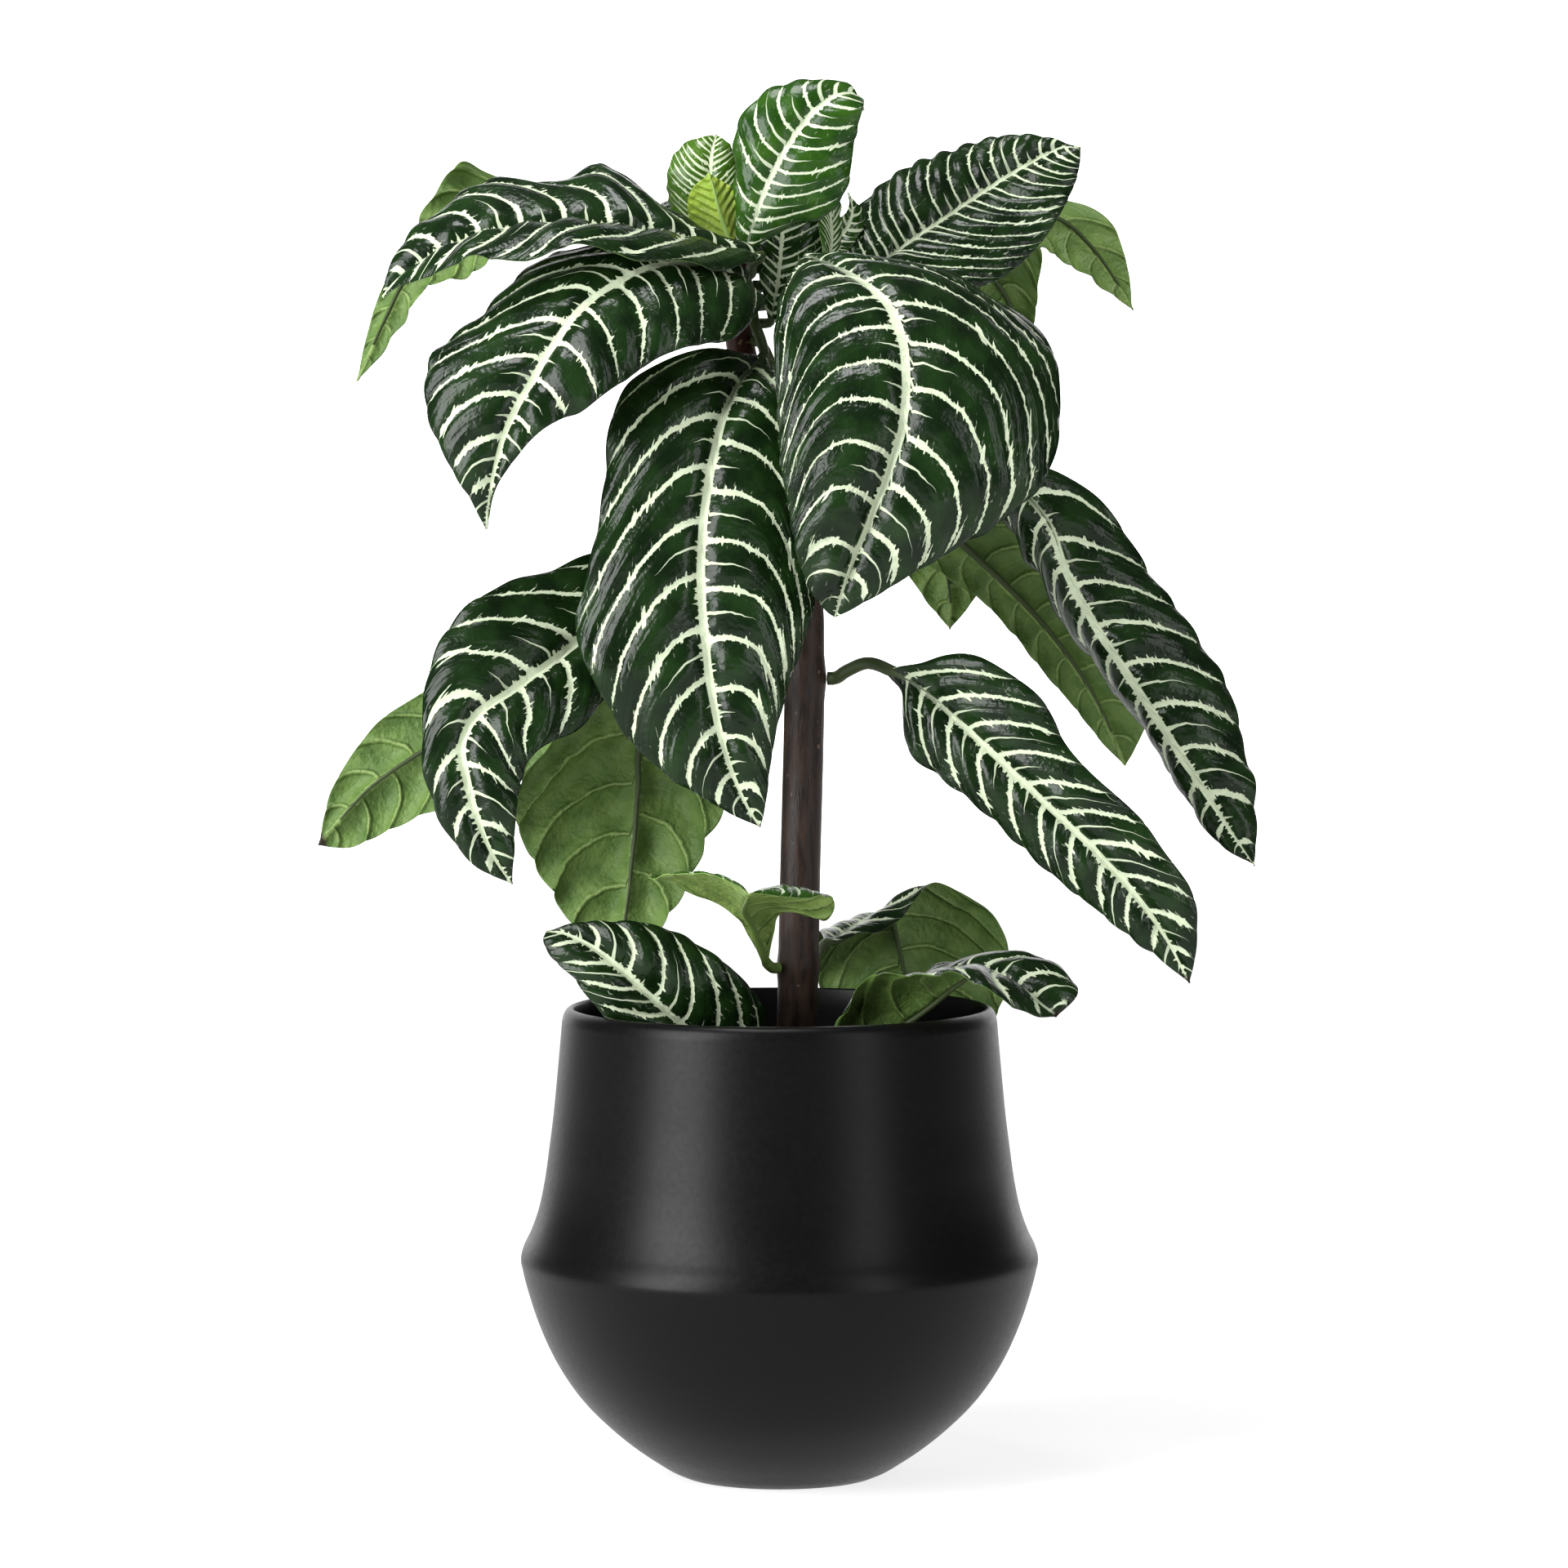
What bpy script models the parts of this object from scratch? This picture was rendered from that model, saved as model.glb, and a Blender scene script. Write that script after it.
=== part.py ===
"""A potted aphelandra (zebra plant): black pot, soil, one leaning stem and its leaves.

Lengths are in millimetres until mesh_object, which writes metres. The origin is on the floor under the
middle of the pot, +Z is up and the front of the plant faces -Y.
"""

import math

import bpy
import numpy as np

MM = 0.001
TINY = 1e-6
# How far a line is read on to find its direction: as a share of a blade, and in mm along a stalk.
SLOPE_STEP = 0.01
HALF_MM = 0.5

# Leaves are laid out on a flat sheet that stands in front of the plant. A place on the sheet is
# (across, down) in sheet units, and the third number of a point is its depth behind the stem in mm.
SHEET_MIDDLE = 960.0
SHEET_FOCUS = 6787.0
EYE = (1.9, -2355.0, 425.0)
EYE_PITCH = math.radians(3.16)

# Leaf stalks: the gap to the stem, and how far out the second ring is, in stalk radii.
PETIOLE_GAP = 0.6
FIRST_RING = 0.9
# Blades: sheet thickness, depth of the midrib below and how far along the blade the stalk blends into it.
BLADE_THICKNESS = 0.8
RIB_DEPTH = 1.5
RIB_NARROWNESS = 2.5
BASE_BLEND = 0.16
# How far the arch of each half rises as a share of its width, and the waves of the margin.
CAMBER = 0.10
WAVE_HEIGHT = 1.9
WAVE_PITCH = 42.0
WAVE_SHARE = 0.07
RIGHT_WAVE_LAG = 2.1
# Rows along and columns across a blade, and where its first and last rows lie, from 0 to 1.
LEAF_GRID = (15, 7)
SMALL_LEAF_GRID = (8, 5)
FIRST_ROWS = (0.05, 0.11)
LAST_ROW = 0.992
# How far the two side points of a stalk ring stand apart, as a share of its half depth.
MARGIN_SPLIT = 0.12

POT_SIDES = 44
STEM_SIDES = 14
# Pot: wall thickness, height of the cavity's floor and the first point of POT_OUTSIDE the inside follows.
WALL = 5.0
CELLAR = 8.0
INSIDE_FROM = 4
# Soil: its top, its gap to the pot, and how far its edge lies below its middle.
SOIL_TOP = 168.0
SOIL_GAP = 0.3
SOIL_SHOULDER = 6.0
SOIL_CROWN = 1.5
FLAT_SHARE = 0.6
# Stem: the height of its foot, and the play in its hole.
STEM_FOOT = 125.0
STEM_HOLE_GAP = 0.6

# Outside of the pot as (radius, height), from the foot to just under the lip.
POT_OUTSIDE = [
    (42.5, 0.0), (47.4, 2.2), (53.2, 5.8), (63.0, 12.6), (72.2, 20.2), (85.8, 34.2), (95.2, 48.3),
    (101.8, 62.3), (106.7, 76.4), (109.6, 87.5), (110.5, 92.6), (109.6, 96.6), (106.2, 104.0),
    (103.3, 112.0), (100.3, 125.6), (98.3, 139.6), (96.5, 153.7), (95.1, 167.7), (93.8, 181.8),
    (92.9, 192.0),
]
# Rounded lip, from the outside over the top to the inside.
POT_LIP = [(92.5, 195.4), (91.4, 198.2), (89.7, 199.7), (88.4, 199.9), (87.8, 198.6)]

# Stem centre line as (x, y, height), and its radius against height. The swellings are leaf nodes.
STEM_LINE = [
    (7.5, 0, 125), (7.5, 0, 150), (7.5, 0, 182), (8.6, 0, 248), (10.6, 0, 340), (10.6, 0, 373),
    (3.5, 0, 415), (-8.5, 0, 456), (-16.5, 0, 481), (-17, 0, 498), (-14.5, 0, 524),
]
STEM_RADIUS = [
    (125, 8.8), (170, 8.8), (210, 8.7), (217, 9.5), (224, 8.7), (290, 8.6), (330, 8.5), (340, 9.4),
    (350, 8.2), (380, 7.6),
    (388, 8.1), (396, 7.4), (425, 7.0), (456, 6.3), (484, 6.2), (498, 5.4), (524, 3.6),
]

# One entry for each leaf: its node on the stem as (height, degrees), the radius of its stalk, points the
# stalk passes, and stations from the foot of the blade to its tip as (midrib, left margin, right margin).
LEAVES = {
    "front_right": {
        "node": (483, 324), "radius": 2.1, "phase": 0.0,
        "stalk": [(948, 448, -10.5), (973, 412, -21), (982, 358, -27)],
        "stations": [
            ((985, 313, -32), (988, 309, -30), (982, 318, -33)),
            ((1014, 323, -45), (1035, 318, -33), (957, 362, -60)),
            ((1052, 343, -60), (1105, 325, -28), (950, 425, -78)),
            ((1085, 372, -72), (1185, 352, -32), (951, 495, -86)),
            ((1104, 415, -82), (1255, 390, -45), (957, 560, -90)),
            ((1109, 470, -90), (1288, 440, -62), (964, 612, -93)),
            ((1104, 525, -93), (1298, 510, -76), (972, 655, -93)),
            ((1087, 580, -94), (1278, 585, -84), (980, 692, -92)),
            ((1063, 640, -93), (1205, 650, -88), (991, 720, -90)),
            ((1043, 690, -91), (1118, 700, -88), (1005, 740, -88)),
            ((1031, 726, -89), (1058, 737, -88), (1013, 750, -87)),
            ((1022, 758, -86),),
        ],
    },
    "front_left": {
        "node": (500, 300), "radius": 2.2, "phase": 2.4,
        "stalk": [(924, 396, -14), (933, 420, -21)],
        "stations": [
            ((936, 437, -27), (940, 437, -26), (932, 436, -27)),
            ((910, 462, -42), (950, 458, -32), (872, 430, -44)),
            ((888, 505, -55), (985, 495, -42), (793, 452, -52)),
            ((873, 560, -64), (1000, 570, -50), (752, 505, -61)),
            ((862, 630, -70), (1004, 650, -60), (740, 603, -68)),
            ((858, 700, -74), (996, 735, -66), (721, 703, -73)),
            ((862, 770, -77), (978, 800, -72), (706, 775, -77)),
            ((870, 840, -78), (958, 862, -75), (738, 850, -79)),
            ((882, 900, -78), (946, 915, -76), (778, 912, -78)),
            ((900, 955, -77), (940, 962, -76), (833, 958, -77)),
            ((915, 988, -76), (936, 992, -76), (884, 990, -76)),
            ((932, 1015, -75),),
        ],
    },
    "left_big": {
        "node": (500, 250), "radius": 2.6, "phase": 4.8,
        "stalk": [(905, 368, -14)],
        "stations": [
            ((918, 352, -20), (925, 358, -21), (916, 344, -17)),
            ((896, 336, -30), (930, 370, -32), (911, 331, -19)),
            ((850, 324, -44), (905, 408, -56), (850, 304, -16)),
            ((800, 326, -56), (858, 424, -70), (780, 303, -10)),
            ((755, 347, -67), (800, 441, -80), (715, 306, -24)),
            ((712, 378, -76), (755, 472, -86), (645, 338, -44)),
            ((680, 420, -82), (720, 499, -90), (585, 388, -60)),
            ((650, 470, -86), (684, 514, -91), (530, 446, -73)),
            ((625, 515, -88), (650, 540, -91), (524, 505, -81)),
            ((608, 565, -88), (622, 573, -90), (548, 562, -85)),
            ((600, 605, -87), (606, 602, -88), (574, 606, -86)),
            ((594, 650, -85),),
        ],
    },
    "left_upper": {
        "node": (511, 300), "radius": 2.2, "phase": 0.9,
        "stalk": [(922, 322, -12)],
        "stations": [
            ((934, 312, -16), (937, 315, -17), (934, 309, -14)),
            ((921, 310, -19), (928, 321, -25), (921, 301, -13)),
            ((897, 306, -25), (908, 325, -38), (890, 297, -15)),
            ((835, 292, -32), (855, 329, -58), (815, 262, -14)),
            ((775, 284, -38), (795, 320, -72), (748, 205, -6)),
            ((705, 276, -42), (722, 307, -78), (695, 224, -4)),
            ((645, 279, -44), (655, 315, -78), (630, 222, -10)),
            ((592, 290, -45), (598, 320, -74), (578, 236, -18)),
            ((545, 306, -45), (555, 328, -66), (530, 263, -26)),
            ((508, 326, -44), (515, 341, -58), (497, 298, -34)),
            ((482, 346, -43), (487, 353, -48), (475, 335, -40)),
            ((466, 364, -42),),
        ],
    },
    "left_back": {
        "node": (505, 150), "radius": 2.4, "phase": 3.3,
        "stalk": [(862, 316, 27)],
        "stations": [
            ((800, 275, 50), (802, 270, 52), (800, 280, 48)),
            ((720, 248, 60), (718, 235, 74), (735, 275, 44)),
            ((655, 246, 62), (652, 228, 78), (672, 285, 42)),
            ((603, 252, 60), (598, 207, 72), (625, 303, 42)),
            ((562, 272, 56), (567, 200, 64), (588, 325, 40)),
            ((524, 310, 50), (530, 243, 56), (552, 340, 38)),
            ((497, 346, 44), (500, 300, 50), (519, 352, 37)),
            ((473, 393, 39), (462, 368, 43), (491, 392, 36)),
            ((454, 432, 35), (446, 422, 37), (465, 436, 34)),
            ((437, 469, 32),),
        ],
    },
    "right_upper": {
        "node": (506, 15), "radius": 2.4, "phase": 5.7,
        "stalk": [(1000, 338, 12)],
        "stations": [
            ((1060, 333, 22), (1055, 330, 23), (1062, 337, 20)),
            ((1085, 317, 27), (1042, 318, 28), (1098, 328, 20)),
            ((1120, 292, 34), (1041, 275, 42), (1150, 353, 16)),
            ((1160, 265, 40), (1072, 237, 50), (1207, 352, 20)),
            ((1200, 238, 44), (1132, 200, 56), (1256, 314, 26)),
            ((1240, 212, 46), (1200, 173, 56), (1293, 275, 32)),
            ((1275, 192, 46), (1255, 168, 51), (1311, 235, 38)),
            ((1302, 180, 44), (1292, 171, 46), (1321, 202, 41)),
            ((1324, 180, 42),),
        ],
    },
    "right_back": {
        "node": (514, 50), "radius": 2.2, "phase": 1.8,
        "stalk": [(990, 322, 35)],
        "small": True,
        "stations": [
            ((1110, 300, 62), (1108, 308, 60), (1114, 292, 66)),
            ((1180, 276, 76), (1170, 310, 62), (1195, 245, 96)),
            ((1245, 262, 86), (1240, 305, 70), (1268, 236, 106)),
            ((1297, 272, 90), (1286, 303, 74), (1325, 246, 104)),
            ((1335, 305, 88), (1318, 326, 78), (1364, 280, 98)),
            ((1362, 342, 84), (1350, 349, 79), (1380, 320, 90)),
            ((1387, 382, 80),),
        ],
    },
    "right_under": {
        "node": (498, 45), "radius": 2.2, "phase": 4.2,
        "stalk": [(1020, 357, 25)],
        "small": True,
        "stations": [
            ((1100, 338, 40), (1098, 343, 38), (1104, 333, 42)),
            ((1145, 322, 44), (1130, 350, 34), (1165, 292, 56)),
            ((1188, 325, 52), (1165, 365, 42), (1238, 282, 66)),
            ((1218, 348, 56), (1188, 392, 46), (1277, 305, 68)),
            ((1238, 382, 56), (1208, 422, 46), (1270, 352, 64)),
            ((1247, 422, 52), (1226, 450, 46), (1263, 402, 57)),
            ((1250, 466, 47),),
        ],
    },
    "crown_tall": {
        "node": (517, 300), "radius": 1.8, "phase": 0.4,
        "stalk": [],
        "young": True, "small": True,
        "stations": [
            ((914, 306, -11), (911, 306, -10), (918, 306, -12)),
            ((917, 291, -13), (903, 290, -9), (942, 291, -12)),
            ((923, 272, -15), (903, 266, -10), (962, 280, -12)),
            ((938, 230, -17), (899, 208, -10), (1010, 264, -14)),
            ((957, 192, -19), (902, 165, -11), (1037, 228, -17)),
            ((978, 159, -18), (920, 130, -11), (1044, 182, -18)),
            ((1003, 131, -18), (958, 103, -11), (1052, 148, -18)),
            ((1028, 115, -16), (1008, 99, -11), (1057, 128, -16)),
            ((1047, 114, -14), (1040, 105, -11), (1059, 124, -14)),
            ((1058, 136, -13),),
        ],
    },
    "crown_left": {
        "node": (518, 190), "radius": 1.6, "phase": 2.8,
        "stalk": [],
        "young": True, "small": True,
        "stations": [
            ((886, 303, 5), (882, 303, 5), (890, 303, 4)),
            ((880, 275, 6), (836, 284, 9), (908, 282, 7)),
            ((874, 240, 5), (818, 238, 10), (911, 243, 7)),
            ((870, 208, 5), (823, 198, 11), (903, 205, 8)),
            ((872, 183, 8), (842, 175, 13), (894, 178, 9)),
            ((877, 163, 13),),
        ],
    },
    "crown_bud": {
        "node": (520, 255), "radius": 1.4, "phase": 5.2,
        "stalk": [],
        "young": True, "small": True,
        "stations": [
            ((898, 309, -9), (901, 309, -8), (895, 309, -8)),
            ((894, 299, -9), (911, 300, -5), (868, 301, -5)),
            ((888, 280, -9), (914, 282, -4), (852, 284, -4)),
            ((880, 255, -10), (909, 252, -5), (843, 258, -4)),
            ((874, 232, -9), (896, 230, -5), (848, 232, -4)),
            ((868, 213, -6),),
        ],
    },
    "crown_narrow": {
        "node": (491.5, 25), "radius": 1.1, "phase": 1.3,
        "stalk": [(952, 391, 8), (988, 370, 8), (1007, 346, 2)],
        "young": True, "small": True,
        "stations": [
            ((1014, 329, -2), (1012, 328, -3), (1017, 329, -1)),
            ((1019, 300, 0), (1006, 302, -3), (1029, 300, 5)),
            ((1018, 268, 5), (1003, 268, 1), (1028, 264, 9)),
            ((1018, 243, 5), (1008, 243, 2), (1027, 240, 8)),
            ((1022, 222, 5),),
        ],
    },
    "crown_back": {
        "node": (519, 70), "radius": 1.4, "phase": 3.7,
        "stalk": [(950, 308, 14)],
        "young": True, "small": True,
        "stations": [
            ((990, 312, 22), (987, 308, 22), (993, 316, 22)),
            ((1014, 298, 28), (1004, 278, 29), (1034, 312, 27)),
            ((1035, 282, 31), (1022, 272, 31), (1058, 276, 33)),
            ((1044, 257, 33), (1038, 256, 33), (1056, 258, 34)),
            ((1039, 235, 34),),
        ],
    },
    "crown_front": {
        "node": (490, 350), "radius": 1.8, "phase": 6.1,
        "stalk": [],
        "small": True,
        "stations": [
            ((944, 395, -4), (941, 395, -4), (948, 395, -4)),
            ((950, 362, -4), (934, 358, -3), (983, 368, 2)),
            ((955, 325, -1), (927, 321, -2), (1008, 326, 6)),
            ((958, 285, 3), (923, 272, 8), (1014, 286, 10)),
            ((962, 250, 8), (926, 236, 13), (1004, 248, 15)),
            ((968, 222, 12), (945, 212, 15), (990, 215, 17)),
            ((975, 198, 15),),
        ],
    },
    "back_left": {
        "node": (513, 115), "radius": 2.0, "phase": 2.2,
        "stalk": [],
        "small": True,
        "stations": [
            ((890, 303, 26), (886, 302, 26), (895, 303, 26)),
            ((878, 270, 45), (843, 272, 41), (925, 270, 45)),
            ((868, 254, 68), (806, 262, 65), (930, 254, 69)),
            ((862, 252, 94), (802, 262, 92), (926, 252, 94)),
            ((858, 268, 118), (810, 276, 114), (912, 268, 118)),
            ((856, 288, 140), (825, 296, 136), (890, 288, 138)),
            ((856, 322, 160),),
        ],
    },
    "back_mid": {
        "node": (461, 118), "radius": 2.4, "phase": 4.6,
        "stalk": [],
        "stations": [
            ((928, 472, 30), (923, 472, 30), (934, 472, 30)),
            ((934, 460, 52), (884, 470, 46), (985, 468, 50)),
            ((940, 460, 80), (870, 474, 76), (1012, 474, 78)),
            ((946, 476, 108), (872, 492, 106), (1022, 490, 106)),
            ((950, 505, 130), (880, 522, 128), (1020, 520, 128)),
            ((952, 545, 142), (900, 560, 140), (1002, 558, 140)),
            ((952, 575, 146), (930, 580, 145), (975, 580, 145)),
            ((952, 604, 148),),
        ],
    },
    "left_mid": {
        "node": (388, 200), "radius": 2.4, "phase": 0.7,
        "stalk": [(880, 700, -18)],
        "stations": [
            ((800, 720, -30), (803, 725, -30), (798, 715, -29)),
            ((757, 751, -40), (777, 800, -44), (742, 678, -34)),
            ((715, 781, -49), (744, 848, -52), (678, 699, -42)),
            ((672, 813, -57), (712, 888, -60), (618, 716, -50)),
            ((622, 849, -64), (672, 910, -67), (554, 764, -58)),
            ((580, 880, -70), (645, 934, -72), (523, 838, -66)),
            ((566, 912, -73), (636, 960, -75), (518, 893, -70)),
            ((572, 956, -76), (631, 987, -76), (522, 947, -74)),
            ((586, 1006, -77), (630, 1020, -76), (540, 1004, -76)),
            ((603, 1046, -76), (628, 1052, -76), (576, 1054, -76)),
            ((628, 1085, -73),),
        ],
    },
    "left_low": {
        "node": (340, 170), "radius": 2.4, "phase": 3.1,
        "stalk": [(860, 808, 4)],
        "stations": [
            ((730, 812, 8), (728, 808, 10), (732, 817, 6)),
            ((662, 838, 14), (642, 790, 20), (682, 900, 8)),
            ((602, 872, 17), (577, 815, 24), (622, 960, 10)),
            ((547, 903, 18), (515, 848, 24), (562, 982, 12)),
            ((495, 935, 17), (462, 888, 22), (515, 997, 12)),
            ((450, 968, 15), (420, 940, 18), (462, 1022, 12)),
            ((418, 1002, 12), (403, 980, 13), (428, 1037, 10)),
            ((389, 1036, 9),),
        ],
    },
    "center_low": {
        "node": (420, 150), "radius": 2.4, "phase": 5.5,
        "stalk": [(870, 660, 30)],
        "stations": [
            ((806, 742, 44), (801, 742, 44), (812, 742, 44)),
            ((793, 800, 54), (720, 808, 50), (862, 800, 47)),
            ((786, 860, 60), (672, 882, 54), (886, 868, 50)),
            ((783, 920, 64), (641, 952, 56), (893, 928, 52)),
            ((781, 980, 66), (633, 1003, 57), (881, 985, 54)),
            ((776, 1040, 66), (657, 1053, 58), (856, 1045, 56)),
            ((770, 1095, 64), (688, 1108, 58), (827, 1100, 57)),
            ((764, 1140, 61), (713, 1145, 58), (798, 1145, 57)),
            ((756, 1185, 57),),
        ],
    },
    "right_low": {
        "node": (340, 350), "radius": 2.6, "phase": 1.6,
        "stalk": [(1036, 822, -8), (1062, 812, -16)],
        "stations": [
            ((1092, 822, -25), (1095, 817, -26), (1088, 828, -24)),
            ((1120, 838, -31), (1131, 812, -34), (1106, 852, -27)),
            ((1150, 862, -36), (1185, 802, -44), (1110, 905, -30)),
            ((1190, 898, -42), (1264, 843, -52), (1132, 936, -36)),
            ((1240, 945, -48), (1304, 912, -56), (1195, 982, -42)),
            ((1290, 992, -52), (1363, 970, -60), (1245, 1030, -46)),
            ((1340, 1040, -55), (1413, 1025, -62), (1300, 1078, -50)),
            ((1390, 1095, -56), (1456, 1087, -62), (1355, 1122, -52)),
            ((1426, 1146, -55), (1466, 1142, -58), (1402, 1158, -52)),
            ((1457, 1206, -52),),
        ],
    },
    "low_left": {
        "node": (184, 205), "radius": 2.2, "phase": 4.0,
        "stalk": [],
        "stations": [
            ((918, 1300, -16), (915, 1303, -16), (921, 1296, -16)),
            ((886, 1288, -25), (868, 1310, -26), (934, 1262, -23)),
            ((851, 1267, -33), (818, 1296, -35), (933, 1235, -30)),
            ((816, 1238, -39), (768, 1268, -42), (906, 1196, -36)),
            ((779, 1204, -42), (728, 1230, -44), (852, 1156, -39)),
            ((741, 1171, -42), (699, 1192, -43), (795, 1132, -41)),
            ((706, 1149, -40), (673, 1168, -40), (736, 1130, -39)),
            ((683, 1141, -38), (666, 1151, -38), (696, 1132, -38)),
            ((667, 1140, -36),),
        ],
    },
    "low_right": {
        "node": (184, 345), "radius": 2.2, "phase": 0.2,
        "stalk": [],
        "stations": [
            ((1010, 1290, -6), (1013, 1286, -4), (1008, 1293, -8)),
            ((1052, 1278, -14), (1078, 1268, 6), (1036, 1236, -32)),
            ((1096, 1256, -21), (1130, 1222, 8), (1064, 1205, -48)),
            ((1135, 1230, -29), (1152, 1188, 4), (1112, 1194, -60)),
            ((1166, 1205, -37), (1176, 1181, -6), (1152, 1197, -68)),
            ((1198, 1188, -46), (1212, 1176, -20), (1190, 1207, -76)),
            ((1229, 1198, -54), (1263, 1175, -36), (1223, 1221, -78)),
            ((1260, 1217, -59), (1302, 1188, -48), (1253, 1240, -74)),
            ((1279, 1232, -61), (1319, 1216, -56), (1272, 1247, -68)),
            ((1296, 1244, -62), (1318, 1238, -59), (1285, 1249, -65)),
        ],
    },
    "low_curl": {
        "node": (217, 215), "radius": 2.2, "phase": 2.6,
        "stalk": [],
        "small": True,
        "stations": [
            ((938, 1178, -13), (941, 1177, -13), (935, 1180, -13)),
            ((925, 1150, -22), (947, 1142, -20), (916, 1146, -24)),
            ((915, 1122, -34), (956, 1124, -29), (902, 1124, -34)),
            ((911, 1110, -46), (986, 1124, -36), (864, 1098, -42)),
            ((913, 1103, -60), (1013, 1122, -46), (815, 1084, -54)),
            ((915, 1099, -74), (1021, 1111, -60), (795, 1078, -68)),
            ((916, 1096, -86), (1005, 1101, -74), (830, 1066, -80)),
            ((917, 1094, -96), (965, 1096, -90), (876, 1074, -90)),
            ((918, 1092, -102),),
        ],
    },
    "low_back": {
        "node": (217, 62), "radius": 2.2, "phase": 5.0,
        "stalk": [(1000, 1168, 26)],
        "stations": [
            ((1014, 1152, 38), (1010, 1150, 39), (1018, 1154, 38)),
            ((1040, 1137, 54), (1006, 1146, 58), (1075, 1140, 52)),
            ((1066, 1122, 70), (1000, 1160, 76), (1112, 1116, 68)),
            ((1088, 1117, 83), (1001, 1183, 90), (1150, 1084, 82)),
            ((1098, 1148, 92), (1005, 1212, 98), (1208, 1112, 88)),
            ((1107, 1190, 96), (1022, 1240, 99), (1232, 1160, 86)),
            ((1114, 1230, 97), (1052, 1268, 99), (1231, 1215, 85)),
            ((1121, 1268, 95), (1088, 1292, 97), (1202, 1264, 86)),
            ((1130, 1308, 91),),
        ],
    },
    "right_hang": {
        "node": (425, 10), "radius": 2.6, "phase": 1.1,
        "stalk": [(1080, 572, 16)],
        "stations": [
            ((1205, 580, 24), (1208, 576, 24), (1202, 585, 25)),
            ((1245, 598, 25), (1275, 576, 29), (1227, 628, 36)),
            ((1283, 640, 24), (1336, 606, 30), (1262, 680, 42)),
            ((1303, 695, 21), (1386, 670, 30), (1287, 730, 42)),
            ((1338, 762, 17), (1442, 752, 27), (1325, 785, 40)),
            ((1388, 838, 13), (1493, 825, 24), (1374, 848, 36)),
            ((1432, 905, 10), (1517, 895, 20), (1420, 912, 30)),
            ((1470, 962, 8), (1531, 955, 16), (1450, 968, 20)),
            ((1503, 1012, 7), (1537, 1008, 11), (1486, 1025, 12)),
            ((1537, 1062, 5),),
        ],
    },
    "right_green": {
        "node": (430, 50), "radius": 2.4, "phase": 3.5,
        "stalk": [(1030, 590, 32)],
        "stations": [
            ((1110, 612, 52), (1106, 617, 52), (1114, 606, 53)),
            ((1150, 643, 62), (1120, 672, 60), (1195, 615, 68)),
            ((1190, 680, 70), (1158, 704, 68), (1262, 645, 78)),
            ((1232, 720, 76), (1200, 732, 74), (1310, 690, 86)),
            ((1275, 765, 80), (1240, 773, 78), (1350, 750, 90)),
            ((1312, 812, 82), (1280, 823, 80), (1385, 805, 90)),
            ((1343, 862, 82), (1325, 875, 81), (1413, 862, 88)),
            ((1363, 905, 80), (1352, 912, 80), (1398, 900, 84)),
            ((1378, 939, 78),),
        ],
    },
    "right_tip": {
        "node": (470, 70), "radius": 2.2, "phase": 5.9,
        "stalk": [(985, 470, 45)],
        "small": True,
        "stations": [
            ((1050, 500, 62), (1046, 504, 62), (1055, 496, 63)),
            ((1092, 545, 76), (1056, 565, 76), (1140, 525, 80)),
            ((1124, 595, 88), (1072, 618, 87), (1184, 575, 92)),
            ((1145, 645, 96), (1085, 665, 95), (1212, 635, 98)),
            ((1157, 692, 100), (1110, 700, 99), (1208, 690, 101)),
            ((1163, 732, 100), (1136, 736, 100), (1191, 734, 100)),
            ((1163, 772, 98),),
        ],
    },
}


def unit(vectors):
    """Each vector at length one."""
    vectors = np.asarray(vectors, float)
    length = np.linalg.norm(vectors, axis=-1, keepdims=True)
    return vectors / np.maximum(length, TINY)


def from_sheet(point):
    """The place in the plant of a point given as (across, down, depth)."""
    across, down, depth = point
    side = (across - SHEET_MIDDLE) / SHEET_FOCUS
    lift = (SHEET_MIDDLE - down) / SHEET_FOCUS
    forward = math.cos(EYE_PITCH) + lift * math.sin(EYE_PITCH)
    upward = lift * math.cos(EYE_PITCH) - math.sin(EYE_PITCH)
    reach = (depth - EYE[1]) / forward
    return [EYE[0] + side * reach, depth, EYE[2] + upward * reach]


def smooth_curve(knots, values, at):
    """A smooth curve through values at the knots, read at the given places."""
    knots = np.asarray(knots, float)
    values = np.asarray(values, float).reshape(len(knots), -1)
    gap = np.diff(knots)[:, None]
    slope = np.diff(values, axis=0) / gap
    tangent = np.empty_like(values)
    tangent[0] = slope[0]
    tangent[-1] = slope[-1]
    tangent[1:-1] = (slope[:-1] * gap[1:] + slope[1:] * gap[:-1]) / (gap[1:] + gap[:-1])
    at = np.atleast_1d(np.asarray(at, float))
    piece = np.clip(np.searchsorted(knots, at, side="right") - 1, 0, len(knots) - 2)
    share = ((at - knots[piece]) / gap[piece, 0])[:, None]
    rest = 1 - share
    return (
        (1 + 2 * share) * rest**2 * values[piece]
        + share * rest**2 * gap[piece] * tangent[piece]
        + share**2 * (3 - 2 * share) * values[piece + 1]
        - share**2 * rest * gap[piece] * tangent[piece + 1]
    )


def stem_at(height):
    """Centre and radius of the stem at a height."""
    line = np.array(STEM_LINE, float)
    radius = np.array(STEM_RADIUS, float)
    centre = smooth_curve(line[:, 2], line[:, :2], height)[0]
    return np.array([centre[0], centre[1], height]), float(np.interp(height, radius[:, 0], radius[:, 1]))


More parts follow.
